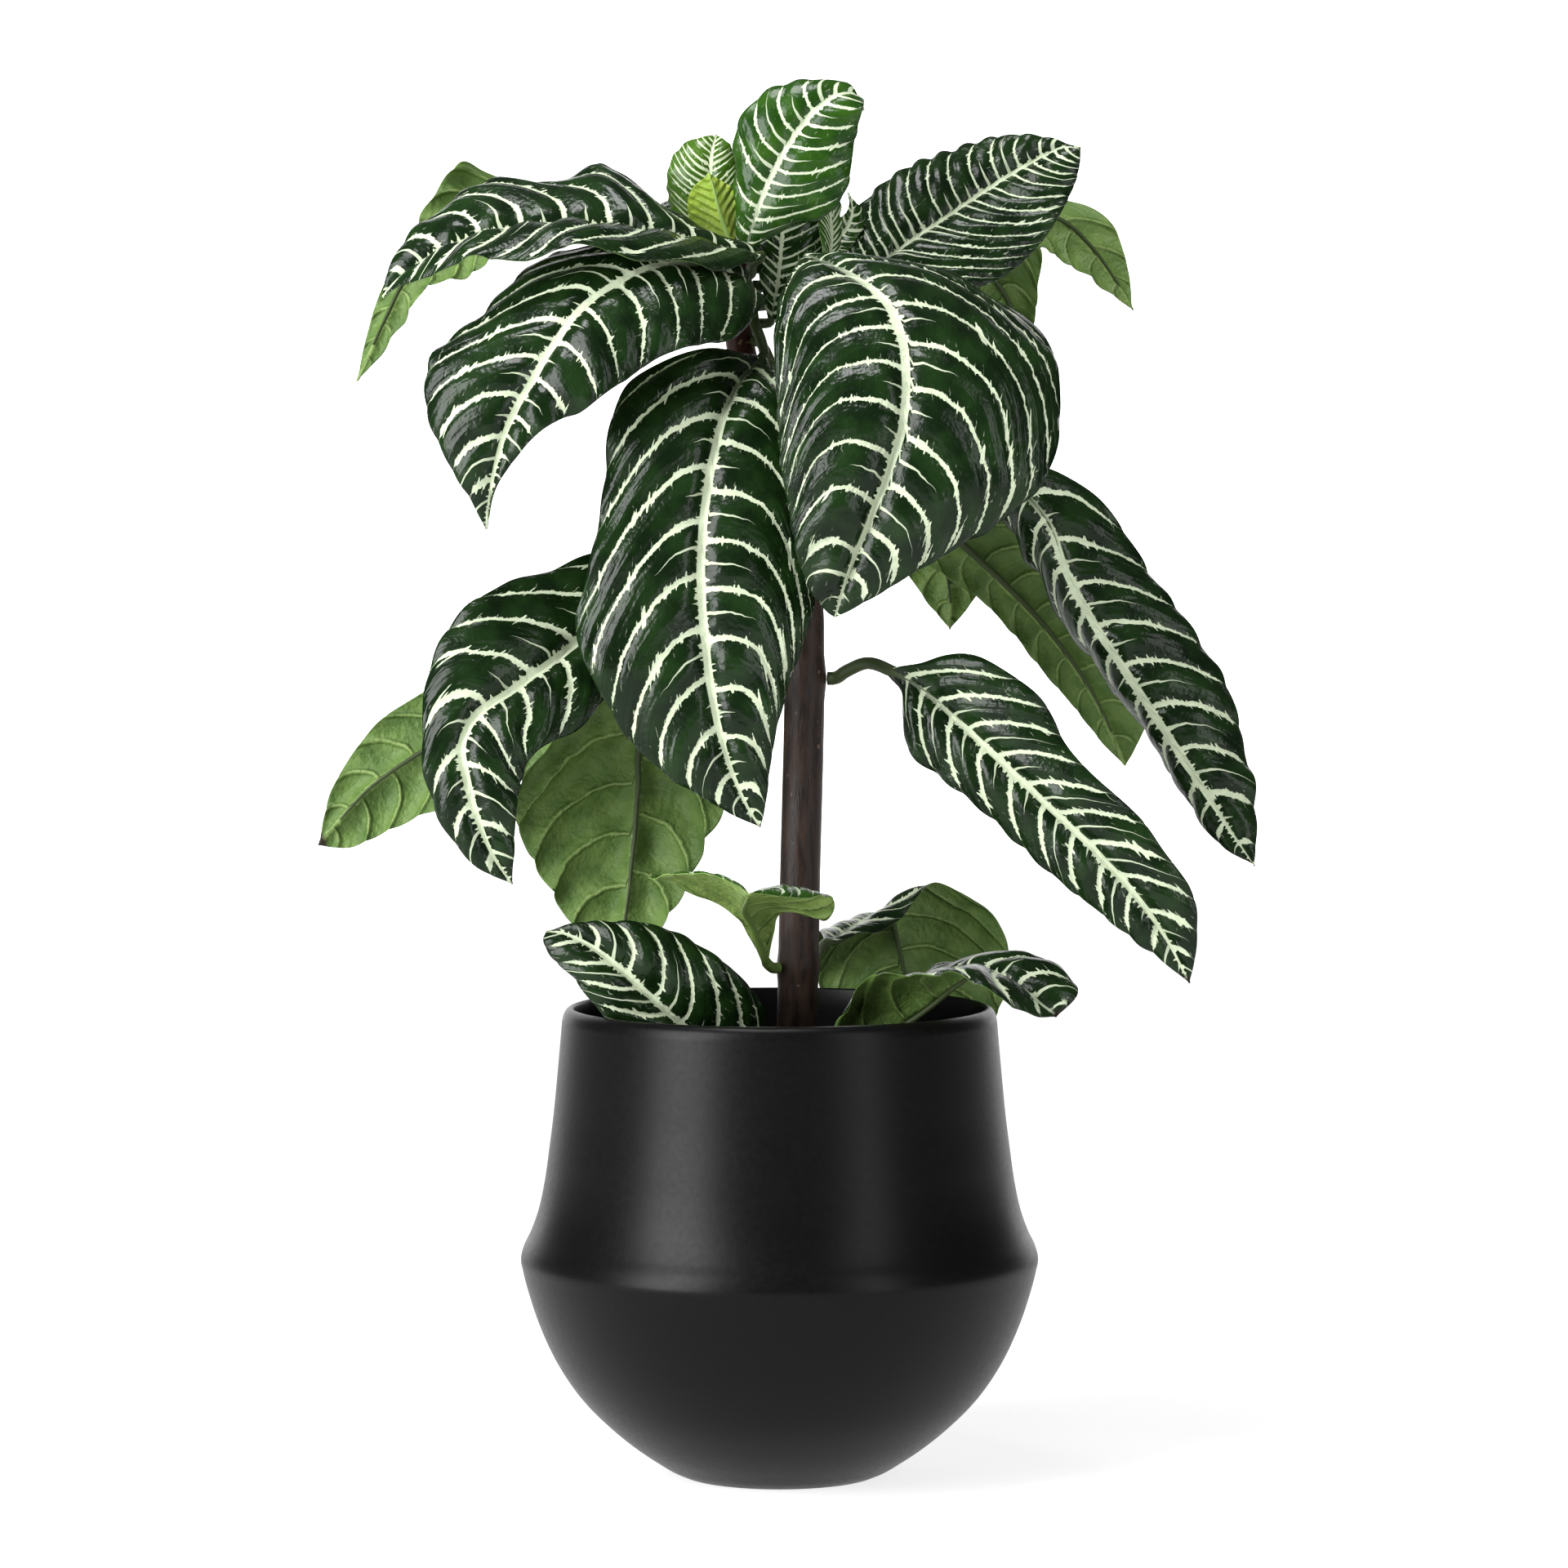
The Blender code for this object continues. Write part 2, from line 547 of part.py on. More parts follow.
def blade_lines(stations):
    """Knots along a blade from 0 to 1, and its midrib, left margin and right margin as points."""
    tip = from_sheet(stations[-1][0])
    rows = [[from_sheet(point) for point in station] for station in stations[:-1]]
    rows.append([tip, tip, tip])
    lines = np.array(rows).transpose(1, 0, 2)
    steps = np.linalg.norm(np.diff(lines[0], axis=0), axis=1)
    knots = np.concatenate([[0], np.cumsum(steps)])
    return knots / knots[-1], lines, knots[-1]


def blade_surface(leaf, along, across):
    """Points of the blade's middle sheet, for rows along (0 to 1) and columns across (-1 left to 1 right)."""
    knots, lines, length = blade_lines(leaf["stations"])
    middle, left, right = (smooth_curve(knots, line, along) for line in lines)
    ahead = smooth_curve(knots, lines[0], np.minimum(along + SLOPE_STEP, 1.0))
    behind = smooth_curve(knots, lines[0], np.maximum(along - SLOPE_STEP, 0.0))
    tangent = unit(ahead - behind)
    across = np.asarray(across, float)
    share = np.abs(across)[None, :, None]
    margin = np.where(across[None, :, None] < 0, left[:, None], right[:, None])
    points = middle[:, None] * (1 - share) + margin * share
    half = margin - middle[:, None]
    flank = unit(half * np.where(across < 0, -1, 1)[None, :, None])
    normal = unit(np.cross(flank, tangent[:, None]))
    width = np.linalg.norm(half, axis=2, keepdims=True)
    turn = 2 * np.pi * length / leaf.get("wave", WAVE_PITCH)
    phase = leaf["phase"] + np.where(across < 0, 0.0, RIGHT_WAVE_LAG)[None, :]
    wave = np.sin(turn * np.asarray(along)[:, None] + phase)[:, :, None]
    height = np.minimum(WAVE_HEIGHT, WAVE_SHARE * width)
    lift = CAMBER * width * 4 * share * (1 - share) + height * wave * share**2
    return points + normal * lift, middle, tangent


def surface_normals(points, tangent):
    """Normals of a grid of surface points, facing the upper side."""
    sideways = np.gradient(points, axis=1)
    length_ways = np.gradient(points, axis=0)
    still = np.linalg.norm(length_ways, axis=2, keepdims=True) < TINY
    length_ways = np.where(still, tangent[:, None], length_ways)
    return unit(np.cross(sideways, length_ways))


def petiole_rings(leaf, ring_across, blade_side):
    """Round rings of the leaf stalk, from the stem to the foot of the blade."""
    height, turn = leaf["node"]
    centre, stem_radius = stem_at(height)
    out = np.array([math.cos(math.radians(turn)), math.sin(math.radians(turn)), 0.0])
    radius = leaf["radius"]
    start = centre + out * (stem_radius + PETIOLE_GAP)
    foot = from_sheet(leaf["stations"][0][0])
    after = from_sheet(leaf["stations"][1][0])
    between = [from_sheet(point) for point in leaf["stalk"]]
    path = np.array([start, start + out * FIRST_RING * radius, *between, foot, after])
    knots = np.concatenate([[0], np.cumsum(np.linalg.norm(np.diff(path, axis=0), axis=1))])
    stops = np.concatenate([[0.0], np.linspace(knots[1], knots[-2], 3 + len(leaf["stalk"]))])
    places = smooth_curve(knots, path, stops)
    onward = smooth_curve(knots, path, np.minimum(stops + HALF_MM, knots[-1]))
    rings = []
    for place, tangent in zip(places, unit(onward - places)):
        side = unit(blade_side - tangent * (blade_side @ tangent))
        if not rings:
            tangent = out
            side = unit(blade_side - out * (blade_side @ out))
        up = np.cross(side, tangent)
        bulge = np.sqrt(np.maximum(0.0, 1 - ring_across**2))
        top = place + radius * (ring_across[:, None] * side + bulge[:, None] * up)
        under = place + radius * (ring_across[:, None] * side - bulge[:, None] * up)
        rings.append(np.vstack([top, under[::-1][1:-1]]))
    return rings


def blade_rings(leaf, along, ring_across):
    """Flat closed rings across the blade, thick at its foot and thin at its tip."""
    points, _, tangent = blade_surface(leaf, along, ring_across)
    normals = surface_normals(points, tangent)
    radius = leaf["radius"]
    rings = []
    for row, normal, place in zip(points, normals, along):
        foot = max(0.0, 1 - place / BASE_BLEND)
        near_rib = np.maximum(0.0, 1 - np.abs(ring_across) * RIB_NARROWNESS)
        over = BLADE_THICKNESS / 2 + foot * (radius - BLADE_THICKNESS / 2) * (1 - ring_across**2)
        rib = RIB_DEPTH * (1 - place) * near_rib
        top = row + normal * over[:, None]
        under = row - normal * (over + rib)[:, None]
        rings.append(np.vstack([top, under[::-1]]))
    return rings


def leaf_mesh(leaf, rows, columns):
    """Points and triangles of one leaf: its stalk runs into its blade as one closed body."""
    ring_across = np.linspace(-1, 1, columns)
    knots, lines, _ = blade_lines(leaf["stations"])
    wide = min(2, len(knots) - 2)
    blade_side = unit(lines[2][wide] - lines[1][wide])
    along = np.concatenate([[FIRST_ROWS[0]], np.linspace(FIRST_ROWS[1], LAST_ROW, rows - 1)])
    stalk = [widen_ring(ring) for ring in petiole_rings(leaf, ring_across, blade_side)]
    rings = stalk + blade_rings(leaf, along, ring_across)
    return loft(rings, columns)


def widen_ring(ring):
    """A stalk ring with its two side points doubled, so that it has as many points as a blade ring."""
    columns = (len(ring) + 2) // 2
    left, right = ring[0], ring[columns - 1]
    shift = MARGIN_SPLIT * (ring[columns // 2] - (left + right) / 2)
    top = ring[:columns].copy()
    under = np.vstack([right, ring[columns:], left])
    top[[0, -1]] += shift
    under[[0, -1]] -= shift
    return np.vstack([top, under])


def loft(rings, columns):
    """A closed body through the rings. Upper and under faces are split along the same diagonals."""
    size = 2 * columns
    points = np.vstack(rings)
    faces = []
    for row in range(len(rings) - 1):
        low, high = row * size, (row + 1) * size
        for step in range(size):
            after = (step + 1) % size
            a, b, c, d = low + step, low + after, high + after, high + step
            if step < columns:
                faces += [(a, b, c), (a, c, d)]
            else:
                faces += [(a, b, d), (b, c, d)]
    last = (len(rings) - 1) * size
    for step in range(columns - 1):
        a, b = step, step + 1
        c, d = size - 2 - step, size - 1 - step
        faces += [(a, c, b), (a, d, c)]
        faces += [(last + a, last + b, last + c), (last + a, last + c, last + d)]
    return points, faces


def turned(profile, sides):
    """A body turned round the Z axis from a profile that starts and ends on it."""
    points = []
    rings = []
    for radius, height in profile:
        if radius < TINY:
            rings.append([len(points)] * sides)
            points.append((0.0, 0.0, height))
            continue
        rings.append(list(range(len(points), len(points) + sides)))
        for step in range(sides):
            turn = 2 * math.pi * step / sides
            points.append((radius * math.cos(turn), radius * math.sin(turn), height))
    faces = []
    for low, high in zip(rings, rings[1:]):
        for step in range(sides):
            after = (step + 1) % sides
            quad = [low[step], low[after], high[after], high[step]]
            corners = [c for place, c in enumerate(quad) if c != quad[place - 1]]
            if len(corners) > 2:
                faces.append(corners)
    return points, faces


def pot_inside():
    """Inside wall of the pot as (radius, height), from the floor of the cavity to the lip."""
    wall = [(radius - WALL, height) for radius, height in POT_OUTSIDE[INSIDE_FROM::2]]
    return [(POT_OUTSIDE[0][0], CELLAR), *wall, (POT_OUTSIDE[-1][0] - WALL, POT_OUTSIDE[-1][1])]


def pot_profile():
    """Outline of the pot wall: foot, outside, rounded lip, inside and floor."""
    return [(0.0, 0.0), *POT_OUTSIDE, *POT_LIP, *reversed(pot_inside()), (0.0, CELLAR)]


def soil_profile():
    """Outline of the soil: it fills the pot up to SOIL_TOP and leaves a plain hole for the stem."""
    wall = [(radius - SOIL_GAP, height + SOIL_GAP) for radius, height in pot_inside()]
    wall = [point for point in wall if point[1] < SOIL_TOP - SOIL_SHOULDER]
    top_radius = float(np.interp(SOIL_TOP, *zip(*[(h, r) for r, h in pot_inside()]))) - SOIL_GAP
    hole = STEM_RADIUS[1][1] + STEM_HOLE_GAP
    foot = STEM_FOOT - STEM_HOLE_GAP
    return [
        (0.0, CELLAR + SOIL_GAP), *wall, (top_radius, SOIL_TOP - SOIL_CROWN),
        (top_radius * FLAT_SHARE, SOIL_TOP), (hole, SOIL_TOP), (hole, foot), (0.0, foot),
    ]


def soil_mesh():
    """The soil, with its round hole moved to where the stem stands."""
    points, faces = turned(soil_profile(), POT_SIDES)
    just_past_hole = STEM_RADIUS[1][1] + 2 * STEM_HOLE_GAP
    moved = []
    for x, y, z in points:
        in_hole = z > CELLAR + WALL and math.hypot(x, y) < just_past_hole
        moved.append((x + STEM_LINE[0][0] if in_hole else x, y, z))
    return moved, faces


def stem_mesh():
    """The leaning stem as a tube with swellings at its leaf nodes."""
    heights = sorted({height for height, _ in STEM_RADIUS} | {height for _, _, height in STEM_LINE})
    points = []
    faces = []
    for height in heights:
        centre, radius = stem_at(height)
        for step in range(STEM_SIDES):
            turn = 2 * math.pi * step / STEM_SIDES
            points.append(centre + radius * np.array([math.cos(turn), math.sin(turn), 0.0]))
    for row in range(len(heights) - 1):
        low = row * STEM_SIDES
        for step in range(STEM_SIDES):
            after = (step + 1) % STEM_SIDES
            faces.append((low + step, low + after, low + STEM_SIDES + after, low + STEM_SIDES + step))
    top = len(points) - STEM_SIDES
    faces.append(tuple(reversed(range(STEM_SIDES))))
    faces.append(tuple(range(top, top + STEM_SIDES)))
    return points, faces


def material(name, colour, roughness):
    made = bpy.data.materials.new(name)
    made.use_nodes = True
    shader = made.node_tree.nodes["Principled BSDF"]
    shader.inputs["Base Color"].default_value = (*colour, 1.0)
    shader.inputs["Roughness"].default_value = roughness
    shader.inputs["Metallic"].default_value = 0.0
    return made


def mesh_object(name, points, faces, surface, smooth=True):
    mesh = bpy.data.meshes.new(name)
    scaled = [tuple(float(value) * MM for value in point) for point in points]
    mesh.from_pydata(scaled, [], [tuple(int(corner) for corner in face) for face in faces])
    mesh.materials.append(surface)
    for polygon in mesh.polygons:
        polygon.use_smooth = smooth
    made = bpy.data.objects.new(name, mesh)
    bpy.context.scene.collection.objects.link(made)
    return made


def clear_scene():
    for thing in list(bpy.data.objects):
        bpy.data.objects.remove(thing, do_unlink=True)


def build():
    clear_scene()
    glaze = material("pot_glaze", (0.012, 0.012, 0.013), 0.4)
    earth = material("soil", (0.045, 0.028, 0.018), 0.95)
    bark = material("stem_bark", (0.07, 0.035, 0.03), 0.5)
    mature = material("leaf_mature", (0.02, 0.075, 0.018), 0.4)
    young = material("leaf_young", (0.13, 0.26, 0.06), 0.4)
    mesh_object("pot", *turned(pot_profile(), POT_SIDES), glaze)
    mesh_object("soil", *soil_mesh(), earth)
    mesh_object("stem", *stem_mesh(), bark)
    for name, leaf in LEAVES.items():
        small = leaf.get("small", False)
        rows, columns = SMALL_LEAF_GRID if small else LEAF_GRID
        points, faces = leaf_mesh(leaf, rows, columns)
        mesh_object("leaf_" + name, points, faces, young if leaf.get("young") else mature)


build()
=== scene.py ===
import math
from types import SimpleNamespace

import bpy
import numpy as np
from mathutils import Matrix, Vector


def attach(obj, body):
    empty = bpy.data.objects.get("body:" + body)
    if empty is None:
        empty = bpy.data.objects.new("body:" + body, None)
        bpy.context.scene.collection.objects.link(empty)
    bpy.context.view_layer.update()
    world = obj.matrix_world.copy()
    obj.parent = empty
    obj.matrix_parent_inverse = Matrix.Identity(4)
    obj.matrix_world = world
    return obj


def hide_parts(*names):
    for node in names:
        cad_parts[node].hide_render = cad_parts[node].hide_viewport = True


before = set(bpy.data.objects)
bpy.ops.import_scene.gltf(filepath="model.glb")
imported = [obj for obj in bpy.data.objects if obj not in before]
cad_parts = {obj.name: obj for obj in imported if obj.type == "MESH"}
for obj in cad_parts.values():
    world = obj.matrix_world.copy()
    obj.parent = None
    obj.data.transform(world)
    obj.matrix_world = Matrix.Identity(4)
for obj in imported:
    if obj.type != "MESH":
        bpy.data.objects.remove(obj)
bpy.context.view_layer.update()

# Lengths are in millimetres unless a comment says otherwise. The pot stands round x = y = 0 on the floor.
MM = 0.001
TINY = 1e-6

# The picture, in its own points, and the eye that took it, in millimetres.
PICTURE_SIDE = 1920.0
PICTURE_MIDDLE = PICTURE_SIDE / 2
PICTURE_FOCUS = 6787.0
EYE = (1.9, -2355.0, 425.0)
EYE_PITCH = math.radians(3.16)
FILM_WIDTH = 36.0

# The plain blade: its thickness, its hollow across and the waves of its margins.
BLADE_THICKNESS = 0.8
CAMBER = 0.10
WAVE_HEIGHT = 1.9
WAVE_PITCH = 42.0
WAVE_SHARE = 0.07
RIGHT_WAVE_LAG = 2.1
SLOPE_STEP = 0.01
MARGIN_THINNING = 9
MARGIN_LEAST = 0.35

# The fine blade: rows and columns of points, and how far the columns crowd towards the margins.
LARGE_GRID = (112, 51)
SMALL_GRID = (72, 37)
LAST_ROW = 0.997
CROWDING = 0.35

# Relief: quilts between the veins, puckers on them, flutes at the margin and the groove over the midrib.
QUILT_RISE = 2.5
QUILT_ROUNDING = 0.7
PUCKER_RISE = 0.5
PUCKER_LEAST = 0.2
PUCKER_SIZE = 2.2
FLUTE_RISE = 0.5
GROOVE_DEPTH = 0.9
GROOVE_WIDTH = 2.6
RIB_CLEARANCE = 7.0
FOOT_FADE = 14
TIP_FADE = 6
DRY_FADE = 60
RIGHT_VEIN_LAG = 0.42
VEIN_JITTER = 0.13
JITTER_SIZE = 16.0

# Stalks, and the midribs they run on as.
STALK_GAP = 0.6
FIRST_RING = 0.9
STALK_ROWS = 18
STALK_FLARE = 1.12
TUBE_SIDES = 12
RIB_ROWS = 40
RIB_END = 0.9
RIB_TAPER = 0.9
RIB_SHARE = 0.75
RIB_LEAST = 0.25
RIB_SUNK = 0.62
RIB_BITE = 0.15

# The pot's wall, its filling and the hole for the stem.
WALL = 5.0
CELLAR = 8.0
POT_SIDES = 160
SOIL_TOP = 168.0
SOIL_RADIUS = 89.7
SOIL_DEPTH = 14
SOIL_SHOULDER = 6
SOIL_DISH = 1.5
DISH_WIDTH = 30
SOIL_RINGS = 60
SOIL_SIDES = 200
HOLE = 9.6
HOLE_DEPTH = 10
CRUMB_DEPTH = 3
CRUMB_RISE = 1.3
STEM_SIDES = 40
STEM_STEP = 1.5
STEM_RIDGE = 0.012

# The pot's outside as (radius, height). Its first points are the foot, which has no inner wall behind it.
POT_OUTSIDE = [
    (42.5, 0.0), (47.4, 2.2), (53.2, 5.8), (63.0, 12.6), (72.2, 20.2), (85.8, 34.2), (95.2, 48.3),
    (101.8, 62.3), (106.7, 76.4), (109.6, 87.5), (110.5, 92.6), (109.6, 96.6), (106.2, 104.0),
    (103.3, 112.0), (100.3, 125.6), (98.3, 139.6), (96.5, 153.7), (95.1, 167.7), (93.8, 181.8),
    (92.9, 192.0),
]
POT_LIP = [(92.5, 195.4), (91.4, 198.2), (89.7, 199.7), (88.4, 199.9), (87.8, 198.6)]
FOOT_POINTS = 4

# The stem's middle as (x, y, height), and its thickness with the swellings at its nodes as (height, radius).
STEM_LINE = [
    (7.5, 0, 125), (7.5, 0, 150), (7.5, 0, 182), (8.6, 0, 248), (10.6, 0, 340), (10.6, 0, 373),
    (3.5, 0, 415), (-8.5, 0, 456), (-16.5, 0, 481), (-17, 0, 498), (-14.5, 0, 524),
]
STEM_RADIUS = [
    (125, 8.8), (170, 8.8), (210, 8.7), (217, 9.5), (224, 8.7), (290, 8.6), (330, 8.5), (340, 9.4),
    (350, 8.2), (380, 7.6), (388, 8.1), (396, 7.4), (425, 7.0), (456, 6.3), (484, 6.2), (498, 5.4),
    (524, 3.6),
]

# Greens of a leaf's two faces when it is old, young and still a bud, each from its darkest to its palest.
UPPER_GREENS = [
    ((0.0028, 0.0095, 0.0022), (0.0080, 0.0240, 0.0050)),
    ((0.010, 0.044, 0.003), (0.028, 0.085, 0.007)),
    ((0.160, 0.300, 0.022), (0.240, 0.380, 0.040)),
]
UNDER_GREENS = [
    ((0.060, 0.115, 0.024), (0.105, 0.175, 0.042)),
    ((0.16, 0.26, 0.06), (0.25, 0.36, 0.10)),
    ((0.16, 0.26, 0.018), (0.25, 0.35, 0.032)),
]
VEIN_CREAM = ((0.42, 0.49, 0.33), (0.56, 0.62, 0.46))
VEIN_OF_BUD = (0.36, 0.50, 0.13)
VEIN_BELOW = (0.24, 0.33, 0.11)
DRY_UPPER = (0.012, 0.008, 0.005)
DRY_UNDER = (0.020, 0.013, 0.008)
WHITE = (1.0, 1.0, 1.0, 1.0)

# Each light as its name, place, target and size in metres, and its power in watts.
LIGHTS = [
    ("key", (-1.75, -1.45, 1.0), (0, 0, 0.30), (1.30, 1.9), 104),
    ("fill", (1.5, -1.6, 0.9), (0, 0, 0.30), (0.6, 1.8), 14),
    ("top", (-0.25, -0.3, 1.9), (0, 0, 0.35), (0.7, 0.5), 22),
]
WORLD_LIGHT = 0.12

# What a leaf has where its own entry doesn't say. Sweep is how far its side veins bend to the tip, as a share
# of their way, and how late, for the left half and the right; lean is how far they lean to it all the way.
# Tone is 0 for an old leaf, 1 for a young one and 2 for a bud. Dry is how much of its tip is.
PLAIN_LEAF = {
    "stalk": [], "veins": 10, "sweep": ((0.9, 2.4), (0.9, 2.4)), "lean": (0.0, 0.0),
    "quilt": 1.0, "tone": 0.0, "dry": 0.0, "small": False, "young": False,
}
LEAVES = {}


def add_leaf(name, stations, **entry):
    """Keep a leaf: its node as (height, degrees), its stalk's radius, and its stations from foot to tip.

    A station has a point on the midrib, one on the left margin and one on the right. Each point is its place
    in the picture, across and down, and how far it lies behind the pot's axis. The tip comes last.
    """
    numbers = np.array(stations.split(), float).reshape(-1, 3)
    tip = numbers[-1]
    lines = [[*numbers[first:-1:3], tip] for first in range(3)]
    LEAVES[name] = {**PLAIN_LEAF, **entry, "lines": np.array(lines)}


add_leaf(
    "front_right", node=(483, 324), radius=2.1, phase=0.0, sweep=((1.1, 2.6), (1.0, 4.5)),
    lean=(0.1, -0.35), stalk=[(948, 448, -10.5), (973, 412, -21), (982, 358, -27)], stations="""
    985 313 -32  988 309 -30  982 318 -33
    1014 323 -45  1035 318 -33  957 362 -60
    1052 343 -60  1105 325 -28  950 425 -78
    1085 372 -72  1185 352 -32  951 495 -86
    1104 415 -82  1255 390 -45  957 560 -90
    1109 470 -90  1288 440 -62  964 612 -93
    1104 525 -93  1298 510 -76  972 655 -93
    1087 580 -94  1278 585 -84  980 692 -92
    1063 640 -93  1205 650 -88  991 720 -90
    1043 690 -91  1118 700 -88  1005 740 -88
    1031 726 -89  1058 737 -88  1013 750 -87
    1022 758 -86
    """,
)
add_leaf(
    "front_left", node=(500, 300), radius=2.2, phase=2.4, veins=10.5, sweep=((1.7, 4.0), (1.15, 1.8)),
    stalk=[(924, 396, -14), (933, 420, -21)], stations="""
    936 437 -27  940 437 -26  932 436 -27
    910 462 -42  950 458 -32  872 430 -44
    888 505 -55  985 495 -42  793 452 -52
    873 560 -64  1000 570 -50  752 505 -61
    862 630 -70  1004 650 -60  740 603 -68
    858 700 -74  996 735 -66  721 703 -73
    862 770 -77  978 800 -72  706 775 -77
    870 840 -78  958 862 -75  738 850 -79
    882 900 -78  946 915 -76  778 912 -78
    900 955 -77  940 962 -76  833 958 -77
    915 988 -76  936 992 -76  884 990 -76
    932 1015 -75
    """,
)
add_leaf(
    "left_big", node=(500, 250), radius=2.6, phase=4.8, veins=11, sweep=((0.45, 2.5), (1.1, 1.8)),
    stalk=[(905, 368, -14)], stations="""
    918 352 -20  925 358 -21  916 344 -17
    896 336 -30  930 370 -32  911 331 -19
    850 324 -44  905 408 -56  850 304 -16
    800 326 -56  858 424 -70  780 303 -10
    755 347 -67  800 441 -80  715 306 -24
    712 378 -76  755 472 -86  645 338 -44
    680 420 -82  720 499 -90  585 388 -60
    650 470 -86  684 514 -91  530 446 -73
    625 515 -88  650 540 -91  524 505 -81
    608 565 -88  622 573 -90  548 562 -85
    600 605 -87  606 602 -88  574 606 -86
    594 650 -85
    """,
)
add_leaf(
    "left_upper", node=(511, 300), radius=2.2, phase=0.9, veins=9.5, stalk=[(922, 322, -12)],
    stations="""
    934 312 -16  937 315 -17  934 309 -14
    921 310 -19  928 321 -25  921 301 -13
    897 306 -25  908 325 -38  890 297 -15
    835 292 -32  855 329 -58  815 262 -14
    775 284 -38  795 320 -72  748 205 -6
    705 276 -42  722 307 -78  695 224 -4
    645 279 -44  655 315 -78  630 222 -10
    592 290 -45  598 320 -74  578 236 -18
    545 306 -45  555 328 -66  530 263 -26
    508 326 -44  515 341 -58  497 298 -34
    482 346 -43  487 353 -48  475 335 -40
    466 364 -42
    """,
)
add_leaf(
    "left_back", node=(505, 150), radius=2.4, phase=3.3, veins=11, stalk=[(862, 316, 27)], stations="""
    800 275 50  802 270 52  800 280 48
    720 248 60  718 235 74  735 275 44
    655 246 62  652 228 78  672 285 42
    603 252 60  598 207 72  625 303 42
    562 272 56  567 200 64  588 325 40
    524 310 50  530 243 56  552 340 38
    497 346 44  500 300 50  519 352 37
    473 393 39  462 368 43  491 392 36
    454 432 35  446 422 37  465 436 34
    437 469 32
    """,
)
add_leaf(
    "right_upper", node=(506, 15), radius=2.4, phase=5.7, veins=11, sweep=((0.5, 2.2), (1.2, 2.2)),
    stalk=[(1000, 338, 12)], stations="""
    1060 333 22  1055 330 23  1062 337 20
    1085 317 27  1042 318 28  1098 328 20
    1120 292 34  1041 275 42  1150 353 16
    1160 265 40  1072 237 50  1207 352 20
    1200 238 44  1132 200 56  1256 314 26
    1240 212 46  1200 173 56  1293 275 32
    1275 192 46  1255 168 51  1311 235 38
    1302 180 44  1292 171 46  1321 202 41
    1324 180 42
    """,
)
add_leaf(
    "right_back", node=(514, 50), radius=2.2, phase=1.8, veins=8, tone=0.3, small=True,
    stalk=[(990, 322, 35)], stations="""
    1110 300 62  1108 308 60  1114 292 66
    1180 276 76  1170 310 62  1195 245 96
    1245 262 86  1240 305 70  1268 236 106
    1297 272 90  1286 303 74  1325 246 104
    1335 305 88  1318 326 78  1364 280 98
    1362 342 84  1350 349 79  1380 320 90
    1387 382 80
    """,
)
add_leaf(
    "right_under", node=(498, 45), radius=2.2, phase=4.2, veins=8, small=True, stalk=[(1020, 357, 25)],
    stations="""
    1100 338 40  1098 343 38  1104 333 42
    1145 322 44  1130 350 34  1165 292 56
    1188 325 52  1165 365 42  1238 282 66
    1218 348 56  1188 392 46  1277 305 68
    1238 382 56  1208 422 46  1270 352 64
    1247 422 52  1226 450 46  1263 402 57
    1250 466 47
    """,
)
add_leaf(
    "crown_tall", node=(517, 300), radius=1.8, phase=0.4, veins=8, tone=0.7, quilt=0.5, young=True,
    sweep=((0.6, 2.0), (0.9, 2.0)), stations="""
    914 306 -11  911 306 -10  918 306 -12
    917 291 -13  903 290 -9  942 291 -12
    923 272 -15  903 266 -10  962 280 -12
    938 230 -17  899 208 -10  1010 264 -14
    957 192 -19  902 165 -11  1037 228 -17
    978 159 -18  920 130 -11  1044 182 -18
    1003 131 -18  958 103 -11  1052 148 -18
    1028 115 -16  1008 99 -11  1057 128 -16
    1047 114 -14  1040 105 -11  1059 124 -14
    1058 136 -13
    """,
)
add_leaf(
    "crown_left", node=(518, 190), radius=1.6, phase=2.8, veins=9, tone=1.2, quilt=0.15, young=True,
    sweep=((0.9, 1.6), (0.9, 1.6)), stations="""
    886 303 5  882 303 5  890 303 4
    880 275 6  836 284 9  908 282 7
    874 240 5  818 238 10  911 243 7
    870 208 5  823 198 11  903 205 8
    872 183 8  842 175 13  894 178 9
    877 163 13
    """,
)
add_leaf(
    "crown_bud", node=(520, 255), radius=1.4, phase=5.2, veins=8, tone=2.0, quilt=0.1, young=True,
    sweep=((0.9, 1.4), (0.9, 1.4)), stations="""
    898 309 -9  901 309 -8  895 309 -8
    894 299 -9  911 300 -5  868 301 -5
    888 280 -9  914 282 -4  852 284 -4
    880 255 -10  909 252 -5  843 258 -4
    874 232 -9  896 230 -5  848 232 -4
    868 213 -6
    """,
)
add_leaf(
    "crown_narrow", node=(491.5, 25), radius=1.1, phase=1.3, veins=7, tone=1.0, quilt=0.3, young=True,
    sweep=((1.6, 1.3), (1.6, 1.3)), stalk=[(952, 391, 8), (988, 370, 8), (1007, 346, 2)], stations="""
    1014 329 -2  1012 328 -3  1017 329 -1
    1019 300 0  1006 302 -3  1029 300 5
    1018 268 5  1003 268 1  1028 264 9
    1018 243 5  1008 243 2  1027 240 8
    1022 222 5
    """,
)
add_leaf(
    "crown_back", node=(519, 70), radius=1.4, phase=3.7, veins=6, tone=0.45, quilt=0.4, young=True,
    stalk=[(950, 308, 14)], stations="""
    990 312 22  987 308 22  993 316 22
    1014 298 28  1004 278 29  1034 312 27
    1035 282 31  1022 272 31  1058 276 33
    1044 257 33  1038 256 33  1056 258 34
    1039 235 34
    """,
)
